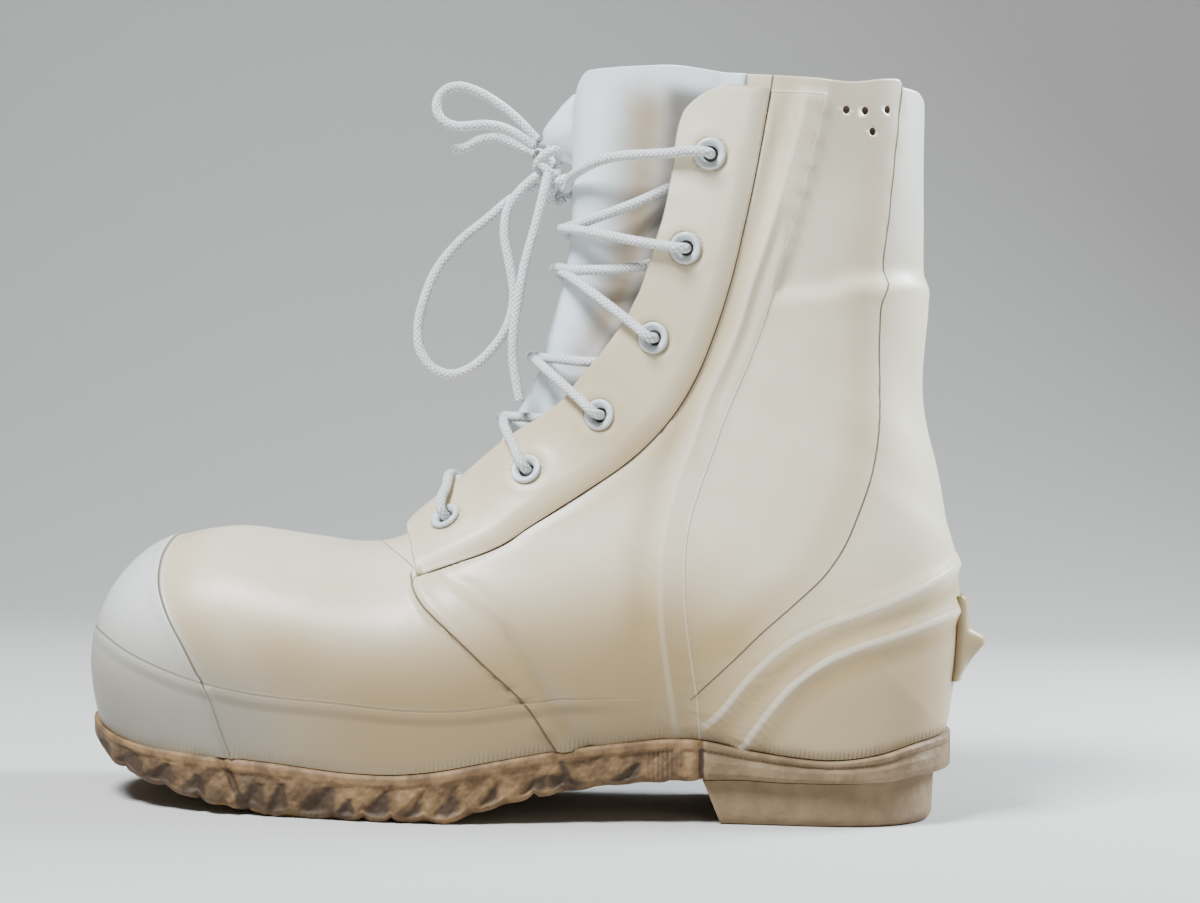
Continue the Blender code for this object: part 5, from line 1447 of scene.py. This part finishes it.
# %% The heel block
def make_heel():
    """The block under the heel, as rings from its top down. Going down, its outline shrinks by the taper's
    share and its breast leans back; over the lowest share the outline is rounded off by a quarter
    circle."""
    lean, back_in, side_in, taper = 6.5, 5.5, 2.0, 0.8
    rounded, rounding = 0.22, 2.4
    end = SOLE_HEEL_X - back_in
    x = BREAST_X + (end - BREAST_X - 0.4) * np.sin(np.linspace(0, 1, 90) * math.pi / 2)
    low = rounded * (1 - np.sin(np.linspace(0, math.pi / 2, 9)))
    share = np.concatenate([np.linspace(1, rounded, 16), low[1:]])
    grow = -taper * (1 - share) - rounding * (1 - np.sqrt(1 - np.clip(1 - share / rounded, 0, 1) ** 2))
    rings = []
    for level, out in zip(share, grow):
        back = (x - BREAST_X) / (end - BREAST_X)
        at = x + lean * (1 - level) * (1 - back) + out * back
        middle, half = plan(x, -back_in)
        half = np.maximum(np.minimum(half + back_in - side_in, half + back_in * 0.5) + out, 4.0)
        rings.append((at, middle, half, level * (under_line(x) - GAP)))
    at, middle, half, z = rings[-1]
    sole = [np.stack([at, middle + half * t, z], -1) for t in np.linspace(1, -1, 16)[1:-1]]
    medial = [np.stack([at, middle + half, z], -1) for at, middle, half, z in rings]
    lateral = [np.stack([at, middle - half, z], -1) for at, middle, half, z in rings]
    points = np.stack(medial + sole + lateral[::-1], axis=1)
    piece = ladder("heel_block", stand(points), [heel_rubber], sharp=50)
    # painted shade on the breast, the heel's front face under the arch
    breast = np.zeros(points.shape[:2])
    breast[0] = 0.55
    paint(piece, deep=breast)
    return piece


dress(make_heel(), "heel_rubber", "heel")

# %% The insole
def make_insole():
    """A felt board that lies inside, 10 mm in from the sole's edge, with its rim rounded off in a half
    circle."""
    inset, rise, thick, rim_out = WALL_THICK + 2.0, 0.7, 4.0, 0.8
    ends = (SOLE_TOE_X + inset + 0.6, SOLE_HEEL_X - inset - 0.6)
    x = (ends[0] + ends[1]) / 2 - (ends[1] - ends[0]) / 2 * np.cos(np.linspace(0, math.pi, 160))
    middle, half = plan(x, -inset)
    half, low = np.maximum(half, 3.0), sole_line(x) + rise
    turn = np.linspace(-math.pi / 2, math.pi / 2, 7)
    rim = [(half - rim_out + rim_out * math.cos(t), low + thick / 2 + thick / 2 * math.sin(t)) for t in turn]
    right = [np.stack([x, middle + out, z], -1) for out, z in rim]
    left = [np.stack([x, middle - out, z], -1) for out, z in rim[::-1]]
    across = np.linspace(1, -1, 26)[1:-1]
    over = [np.stack([x, middle + (half - rim_out) * t, low + thick], -1) for t in across]
    below = [np.stack([x, middle + (half - rim_out) * t, low], -1) for t in across[::-1]]
    return ladder("insole_felt", stand(np.stack(right + over + left + below, axis=1)), [felt], sharp=60)


dress(make_insole(), "felt", "insole")

# %% [markdown]
# ## Tongue
#
# The tongue is a thin sheet of the same rubber that fills the throat. It is wider than the throat, so on
# each side it folds in under the flap and leaves a trough, which the lace pulls into soft creases.

# %% The tongue's folds
FOLD_DEPTH = 7.0


def tongue_level(row, angle):
    """How far the tongue lies under the last: a fold along each side, and all of it near the tongue's
    foot."""
    depth = curve((7.5, 8.0, 9.0, 12.0, 16.0, 19.0), (0.0, 4.8, 5.4, 6.5, FOLD_DEPTH, 4.0), row)
    free = free_edge(np.minimum(row, 18.0))
    under_flap = soft_step(throat_edge(row) - angle - 5, 7)
    beside_front = soft_step(angle - 0.5 * free, 0.6 * free)
    foot = 1 - soft_step(row - 9.2, 1.6)
    return -depth * under_flap * np.maximum(beside_front, foot)


def sided_trim(point, side):
    """The collar's trim, with each place's own side."""
    return np.where(side[..., None] < 0, collar_trim(point, LATERAL), collar_trim(point, MEDIAL))


def tongue_top(row, angle, side):
    """How far the tongue's top edge is moved forward and down: a dip in the middle, and on the inner side a
    bulge where it is folded."""
    dip = 12.0 * (1 - soft_step(angle / 24 - 0.5, 1.0)) * soft_step(row - 18.2, 1.6)
    bulge = 21.0 * hump(angle - 30, 26) * soft_step(row - 17.5, 1.6)
    bulge = bulge * np.sqrt(np.clip((19.06 - row) / 0.6, 0, 1)) * (side > 0)
    return np.stack([bulge, 0 * dip, dip + 0.40 * bulge], -1)


def fold_stains(row, angle):
    """Tan in the fold beside the flap's free edge, partly yellowed rubber and partly painted shade, and grey
    under the flap, which is painted shadow, from 0 to 1.
    """
    free = free_edge(np.minimum(row, 18.0))
    tan = hump(angle - 0.78 * free, 0.36 * free) * soft_step(row - 11.5, 5) * soft_step(18.6 - row, 1.0)
    return tan, soft_step(angle - 0.90 * free, 0.12 * free) * soft_step(18.6 - row, 0.4)

print("the tongue folds in by up to", FOLD_DEPTH, "mm")

# %% The tongue
def make_tongue():
    """A plate across the throat, from just inside one edge to just inside the other. It lies at the
    tongue's level under the last, with slow waves and fine creases where the lace pulls at it."""
    rows = UPPER_ROWS[UPPER_ROWS > THROAT_ROW + 0.04]
    shares = np.linspace(-1, 1, 121)
    row = np.repeat(rows[:, None], len(shares), axis=1)
    edge_gap = 0.45 + 1.2 * soft_step(7.8 - row, 0.5)
    angle = np.abs(shares) * (throat_edge(row) - edge_gap)
    side = np.where(shares < 0, LATERAL, MEDIAL) + np.zeros_like(row)
    at, out = sided(last, row, angle, side), sided(outward, row, angle, side)
    out[:, shares == 0, 1] = 0.0
    out /= np.linalg.norm(out, axis=-1, keepdims=True)
    out[-1, :, 2] = 0.0
    calm = soft_step(19 - row, 1.2) * soft_step(throat_edge(row) - angle - 3, 5)
    lifts = 0.45 * waves(at * (1, 0.6, 1), 26.0, 31) + 0.25 * waves(at, 11.0, 32)
    creases = -0.5 * np.clip(np.sin(at[..., 2] / 4.6 + 1.2 * np.sin(at[..., 1] / 9)), 0, 1) ** 6
    creases = creases * soft_step(170 - at[..., 2], 60)
    level = (tongue_level(row, angle) + (lifts + creases) * calm)[..., None]
    at = sided_trim(at, side) - tongue_top(row, angle, side)
    under = stand(at + out * (level - TONGUE_WALL))
    piece = plate("tongue_rubber", stand(at + out * level), under, [tongue_rubber])
    # tan and grey in the fold, and painted shade over the whole underside
    tan, grey = fold_stains(row, angle)
    inside = np.zeros_like(row)
    paint(piece, fold_tan=np.stack([tan, inside]), fold_grey=np.stack([grey, inside + 0.4]))
    return piece


dress(make_tongue(), "tongue_rubber", "tongue")

# %% [markdown]
# ## Flaps and eyelets
#
# Each flap is a plate that lies over the throat's edge. Its six holes are cut by a boolean, which is
# applied, so the metal eyelets sit in real holes. An eyelet is a profile turned round its own axis: a
# barrel through the flap and a rolled flange on it. The rubber dimples a little round each one, where the
# press squeezed it.

# %% The flaps' grid and the eyelets' places
# row and angle of each eyelet, from the lowest up
EYELETS = ((8.14, 28.5), (9.71, 35.0), (11.44, 38.5), (13.82, 52.5), (15.82, 67.0), (17.50, 75.5))
EYELET_RADIUS, EYELET_BORE, EYELET_HOLE, EYELET_DEPTH = 5.75, 2.8, 4.1, 6.0
FLAP_ROUNDING = 1.2


def eyelet_seat(number, side):
    """A matrix with its origin on the flap's outer face and +Z out of it."""
    row, angle = EYELETS[number]
    return facing(outward(row, angle, side), lifted(row, angle, side, FLAP_GAP + FLAP_WALL))


def flap_grid():
    """The flap's rows, and its shares of the way from the free edge at 0 to the seam at 1. Both come closer
    together towards the flap's edges, so that the edges can be rounded off."""
    rows = np.concatenate([7.22 + 0.30 * eased(10), np.linspace(7.52, 18.0, 170)[1:],
                           18.0 + 0.66 * np.sin(np.linspace(0, math.pi / 2, 22))[1:]])
    rim = 0.05 * eased(7)
    return rows, np.concatenate([rim[:-1], np.linspace(0.05, 0.95, 46), (1 - rim[:-1])[::-1]])


def press_marks(at, side):
    """Round each eyelet: the dimple and the raised ring that the press left, in mm, and a dark ring just
    outside the flange, from 0 to 1."""
    pressed, dirt = np.zeros(at.shape[:-1]), np.zeros(at.shape[:-1])
    for row, angle in EYELETS:
        away = np.linalg.norm(at - last(row, angle, side), axis=-1)
        pressed += 0.35 * np.exp(-(((away - 8.4) / 2.4) ** 2)) - 0.45 * hump(away, 8.0)
        dirt = np.maximum(dirt, 0.85 * hump(away - EYELET_RADIUS - 0.3, 1.5))
    return pressed, dirt


print("eyelets on each flap:", len(EYELETS))

# %% The flaps
def make_eyestay(name, side):
    """A plate over the throat's edge. Its top is the flap's thickness, rounded off by a quarter circle at
    the edges, and thinned out behind, where it is flush with the quarter and the seam runs along it."""
    rows, shares = flap_grid()
    row = np.repeat(rows[:, None], len(shares), axis=1)
    free, seam = free_edge(row), flap_seam(row)
    angle = free + (seam - free) * shares
    at = last(row, angle, side)
    width = np.linalg.norm(last(rows, free[:, 0], side) - last(rows, seam[:, 0], side), axis=1)[:, None]
    from_front, from_seam = shares * width, (1 - shares) * width
    from_foot, from_top = (row - rows[0]) * ROW_LENGTH, (rows[-1] - row) * ROW_LENGTH
    from_edge = np.minimum(np.minimum(from_front, from_foot), from_top)
    rounded = FLAP_ROUNDING * (1 - np.sqrt(1 - np.clip(1 - from_edge / FLAP_ROUNDING, 0, 1) ** 2))
    thin = (1 - soft_step(from_seam - 3.2, 7.5)) * soft_step(from_foot - 1, 3)
    pressed, dirt = press_marks(at, side)
    foot_curl = 1.4 * soft_step(8.0 - row, 1.0) * soft_step(0.3 - shares, 0.4)
    soft = 0.28 * waves(at, 30.0, 41 + int(side)) * soft_step(from_edge - 2, 4) * (1 - thin)
    full = FLAP_GAP + FLAP_WALL - rounded + foot_curl + soft
    full = full + pressed * (1 - thin) * soft_step(from_edge - 0.8, 1.0)
    top = full * (1 - thin) + (0.95 - 0.2 * rounded) * thin
    under = np.minimum(FLAP_GAP + foot_curl * 0.6, top - 0.35)
    faces = [stand(lifted(row, angle, side, lift)) for lift in (top, under)]
    flap = plate(name, *faces, [flap_rubber])
    # warmer in the middle and lower rows and next to the seam; a dark rim along the edges, the seam's dark
    # joint at the rear and painted shade along the others; painted shade on the underside
    warmth = 0.08 + 0.12 * soft_step(16 - row, 2) + 0.40 * hump(row - 11.5, 6) + 0.15 * waves(at, 40.0, 43)
    warmth = np.clip(warmth + 0.35 * soft_step(2.5 - from_seam, 4), 0, 1)
    dirt = np.maximum(dirt, 0.75 * soft_step(0.9 - np.minimum(from_edge, from_seam), 0.9))
    bare = np.zeros_like(row)
    paint(flap, warmth=np.stack([warmth, warmth]), soil=np.stack([dirt, bare + 0.6]))
    for stain in ("lining", "knurl", "tanned", "clean", "dulled"):
        paint(flap, **{stain: np.stack([bare, bare])})
    return flap


def punch(flap, side):
    """Cuts the flap's six eyelet holes."""
    seats = [eyelet_seat(number, side) for number in range(len(EYELETS))]
    hole = rod(EYELET_HOLE, -EYELET_DEPTH, TOOL_REACH)
    cut_by(flap, turned(flap.name + "_tool", hole, 32, seats, [flap_rubber]))


for name, side in SIDES.items():
    flap = make_eyestay(f"flap_{name}", side)
    punch(flap, side)
    dress(flap, "white_rubber", f"eyestay_{name}")

# %% The eyelets
# radius and height off the flap: up the barrel, out over the rolled flange, back under it and down again
EYELET_PROFILE = np.array([
    (EYELET_BORE, -2.4), (EYELET_BORE, -0.4), (2.95, 0.3), (3.4, 0.9), (4.0, 1.35), (4.6, 1.6), (5.1, 1.62),
    (5.5, 1.35), (5.72, 0.95), (EYELET_RADIUS, 0.5), (5.6, 0.1), (5.2, -0.1), (3.7, -0.1), (3.7, -2.4),
])
EYELET_SIDES = 48
rub = np.tile(np.clip(1 - (EYELET_PROFILE[:, 0] - EYELET_BORE) / 1.1, 0, 1), EYELET_SIDES)

for name, side in SIDES.items():
    for number in range(len(EYELETS)):
        seat = [eyelet_seat(number, side)]
        ring = turned(f"eyelet_ring_{name}_{number + 1}", EYELET_PROFILE, EYELET_SIDES, seat, [painted_metal])
        paint(ring, rub=rub)
        dress(ring, "painted_eyelet", f"eyelet_{name}_{number + 1}")

# %% [markdown]
# ## Laces
#
# One lace runs through all twelve eyelets. It starts as a bar under both flaps between the lowest pair, and
# comes up through each bore. From there each half crosses the tongue to the opposite side and goes under that
# flap to its next eyelet. Each half is one tube through listed points, given as places on the last with a
# height over it.

# %% The lace's route
LOWER_KNOT_AT = (8.5, -5.0, 232.5)
CROSSING_ROWS = (8.6, 9.9, 11.3, 14.0, 15.2)
CROSSINGS = [f"lace_cross_{number + 1}" for number in range(len(CROSSING_ROWS))]
OVER_EYELET, OVER_FLAP, UNDER_FLAP = 8.1, 5.9, -2.1


def strand(start, start_side, end, crossing_row, over):
    """Places and heights from the top of one eyelet, across the tongue, to the underside of the other flap.
    Seen from the side the strand is straight, so its row goes with 1 - cos(angle), which is how far back a
    place lies."""

    def on_way(angle, end_row, end_angle):
        """The row at this angle, on the straight way from the crossing to an eyelet."""
        share = (1 - math.cos(math.radians(angle))) / (1 - math.cos(math.radians(end_angle)))
        return crossing_row + (end_row - crossing_row) * min(share, 1.0)

    def leaving(angle, lift):
        """A place on the side that the strand comes from."""
        return on_way(angle, *start), angle, start_side, lift

    def arriving(angle, lift):
        """A place on the side that it goes to."""
        return on_way(angle, *end), angle, -start_side, lift

    angle_a, angle_b = start[1], end[1]
    free_a = float(free_edge(on_way(0.8 * angle_a, *start)))
    free_b = float(free_edge(on_way(0.8 * angle_b, *end)))
    return [
        leaving(angle_a - 0.12 * (angle_a - free_a), OVER_EYELET - 0.2),
        leaving(0.55 * angle_a + 0.45 * free_a, OVER_FLAP + 0.6),
        leaving(free_a + 1, OVER_FLAP),
        leaving(0.5 * free_a, 3.7 + 1.2 * over),
        (crossing_row, 0.0, start_side, 2.4 + 2.0 * over),
        arriving(0.45 * free_b, 2.0 + 0.4 * over),
        arriving(free_b - 1, UNDER_FLAP),
        arriving(angle_b - 0.3 * (angle_b - free_b), UNDER_FLAP - 0.2),
    ]


def bore(number, side):
    """Up through an eyelet: from under the flap to over the flange."""
    row, angle = EYELETS[number]
    return [(row, angle, side, lift) for lift in (-1.2, 1.5, 4.6, 6.9)]

print("heights of a lace in its bore:", [place[3] for place in bore(0, LATERAL)])

# %% The two halves of the lace
def half_lace(side):
    """From the bar at the lowest pair, up one half of the lacing, to the knot."""
    places = [(8.0, 0.0, side, -2.6), (8.06, 14.0, side, -2.4)] + bore(0, side)
    for number, crossing_row in enumerate(CROSSING_ROWS):
        over = 1.0 if (side == LATERAL) == (number % 2 == 0) else 0.0
        places += strand(EYELETS[number], side, EYELETS[number + 1], crossing_row, over)
        side = -side
        places += bore(number + 1, side)
    row, angle = EYELETS[-1]
    free = float(free_edge(row))
    places += [(row, angle - 2.5, side, OVER_EYELET - 0.2), (row - 0.03, angle - 6, side, OVER_FLAP + 0.8),
               (row - 0.10, free + 1, side, OVER_FLAP), (row - 0.46, 0.62 * free, side, 4.4),
               (row - 0.95, 0.3 * free, side, 3.6)]
    into_knot = [np.array(LOWER_KNOT_AT) + (1.5, 2.5 * side, 0.5),
                 np.array(KNOT_AT) + (0.5, 1.5 * side, -4.0)]
    return [lifted(*place) for place in places] + into_knot


for name, side in SIDES.items():
    lace = tube(f"lace_half_{name}", through(half_lace(side), 1.2), LACE / 2, [cotton], sides=14)
    dress(lace, "cotton", *(CROSSINGS if side == LATERAL else []))

# %% The knot
def wound(turns, radii, lift, phase):
    """A coil round the knot's upright middle: an ellipse with these radii in x and y, slanted by the lift,
    that climbs 2.6 mm from its start to its end."""
    t = np.linspace(0, 2 * math.pi * turns, int(60 * turns))
    slant = lift * np.cos(t + phase + 0.8) + 2.6 * (t / t[-1] - 0.5)
    return np.stack([radii[0] * np.cos(t + phase), radii[1] * np.sin(t + phase), slant], -1)


COILS = (
    (KNOT_AT, wound(1.25, (4.0, 4.6), 3.4, 0.4)),
    (KNOT_AT, wound(1.1, (3.4, 3.8), -5.2, 2.4)),
    (LOWER_KNOT_AT, wound(1.15, (3.6, 3.4), 3.6, 1.2)),
)
for number, (at, coil) in enumerate(COILS):
    knot_turn = tube(f"knot_turn_{number + 1}", np.array(at) + coil, LACE / 2, [cotton], sides=14)
    dress(knot_turn, "cotton", *(["lace_knot"] if number == 0 else []))

# %% [markdown]
# ## The ledge at the heel
#
# A ledge stands on the back of the counter, over the ribs, and a wedge on it keeps a strap from riding up.

# %% The heel ledge
def heel_back(across, height):
    """The point on the back of the heel at this y and height, found by walking along the rows and round the
    section, each time by what is still missing over the slope there."""
    row, angle = np.full_like(height, 13.0), np.full_like(height, 165.0)
    side = np.where(across < 0, LATERAL, MEDIAL)
    for _ in range(WALK_STEPS):
        at = last(row, angle, side)
        up = last(row + 0.01, angle, side) - at
        round_heel = last(row, angle - 0.1, side) - at
        short_z, short_y = height - at[..., 2], np.abs(across) - np.abs(at[..., 1])
        row = np.clip(row + 0.01 * short_z / up[..., 2], HEEL_ROW, COLLAR_ROW - 1)
        angle = np.clip(angle - 0.1 * short_y / (side * round_heel[..., 1]), 120, 180)
    return last(row, angle, side)


LEDGE_HALF, FLANK = 17.0, 12
# height, and how far the ledge stands off the heel there: a flat plate, with the wedge from 60 to 72
LEDGE_PROFILE = ((52, 55, 60, 64, 66.5, 68, 70.5, 72, 76, 82, 84),
                 (1.2, 1.8, 4.2, 7.0, 8.6, 8.4, 5.5, 2.9, 2.4, 2.2, 1.2))


def make_heel_lug():
    """A plate on the back of the heel. It stands off by its profile, and the wedge's share of that ends
    short of the plate's own edges."""
    heights = [np.linspace(52, 60, 12), np.linspace(60, 70, 24)[1:], np.linspace(70, 84, 18)[1:]]
    heights = np.concatenate(heights)
    y = np.concatenate([np.linspace(-LEDGE_HALF, -FLANK, 14)[:-1], np.linspace(-FLANK, FLANK, 24),
                        np.linspace(FLANK, LEDGE_HALF, 14)[1:]])
    across, height = np.meshgrid(y, heights)
    back = heel_back(across, height)
    behind = np.array([1.0, 0, 0])
    proud = steady(*LEDGE_PROFILE, heights)
    low, from_side = np.minimum(proud, 2.3), LEDGE_HALF - np.abs(y)
    wedge = (proud - low)[:, None] * soft_step(from_side - 2.2, 4.4)[None, :]
    out = 1.3 + low[:, None] * soft_step(from_side, 2.5) + wedge
    out = out + 0.15 * waves(back, 9.0, 61)
    front, rear = stand(back + behind * 0.3), stand(back + behind * out[..., None])
    piece = plate("heel_ledge", rear, front, [flap_rubber])
    both = np.zeros((2, *across.shape))
    # darker and warmer all over, with painted shade and dirt
    paint(piece, warmth=both + 0.85, soil=both + 0.55, tanned=both + 0.4)
    paint(piece, lining=both, knurl=both, clean=both, dulled=both)
    return piece


dress(make_heel_lug(), "white_rubber", "heel_lug")

# %% [markdown]
# ## Floor and light
#
# The boot stands on a plain pale paper sweep. The main light is a large cool one above, in front of the
# outer side and towards the toe. A weak warm one low on the right lifts the shadows, and a cool one behind
# the heel draws its back edge. All of them are soft, so that the rubber's satin gloss shows as broad
# highlights.

# %% The floor and the lights
def make_paper():
    """Plain paper: fine noise in its colour and in its height."""
    look, tree, shader, place = new_finish("floor paper")
    speck = noise(tree, place, 240.0, 3.0, 0.6)
    colour = blend(tree, times(tree, speck, 0.15), (0.50, 0.48, 0.455, 1), (0.45, 0.432, 0.4095, 1))
    feed(tree, shader, {"Base Color": colour, "Roughness": 0.9})
    bump(tree, shader, speck, 0.0004, 0.3)
    return look


def make_floor():
    """A paper sweep: flat under the boot, then bent up in a wide curve behind it. Its thickness closes
    it."""
    bend = np.linspace(0, math.pi / 2, 24)
    y = np.concatenate([[-3.0, 0.9], 0.9 + 1.1 * np.sin(bend[1:]), [2.0]])
    z = np.concatenate([[0.0, 0.0], 1.1 - 1.1 * np.cos(bend[1:]), [3.2]])
    x = np.linspace(-3.2, 3.2, 9)
    front = np.stack([np.repeat(x[:, None], len(y), 1), np.tile(y, (9, 1)), np.tile(z, (9, 1))], -1)
    return plate("floor", front, front + (0, 0.02, -0.02), [make_paper()])


floor = make_floor()


def soft_light(name, at, towards, size, power, colour):
    """A large area light that looks at a point."""
    lamp = bpy.data.lights.new(name, "AREA")
    lamp.size, lamp.energy, lamp.color = size, power, colour
    thing = bpy.data.objects.new(name, lamp)
    thing.location = at
    thing.rotation_euler = (Vector(towards) - Vector(at)).to_track_quat("-Z", "Y").to_euler()
    bpy.context.scene.collection.objects.link(thing)


soft_light("key", (-0.55, -0.80, 1.50), (0, 0, 0.2), 0.5, 79.0, (0.87, 0.94, 1.0))
soft_light("low fill", (0.75, -1.5, 0.45), (0, 0, 0.15), 1.0, 1.8, (1.0, 0.84, 0.66))
soft_light("behind", (0.95, 0.28, 0.75), (0.12, 0, 0.2), 0.5, 44.0, (0.80, 0.92, 1.0))
world = bpy.data.worlds.new("studio")
world.use_nodes = True
feed(world.node_tree, world.node_tree.nodes["Background"], {"Color": (0.93, 0.88, 0.82, 1), "Strength": 0.11})
bpy.context.scene.world = world
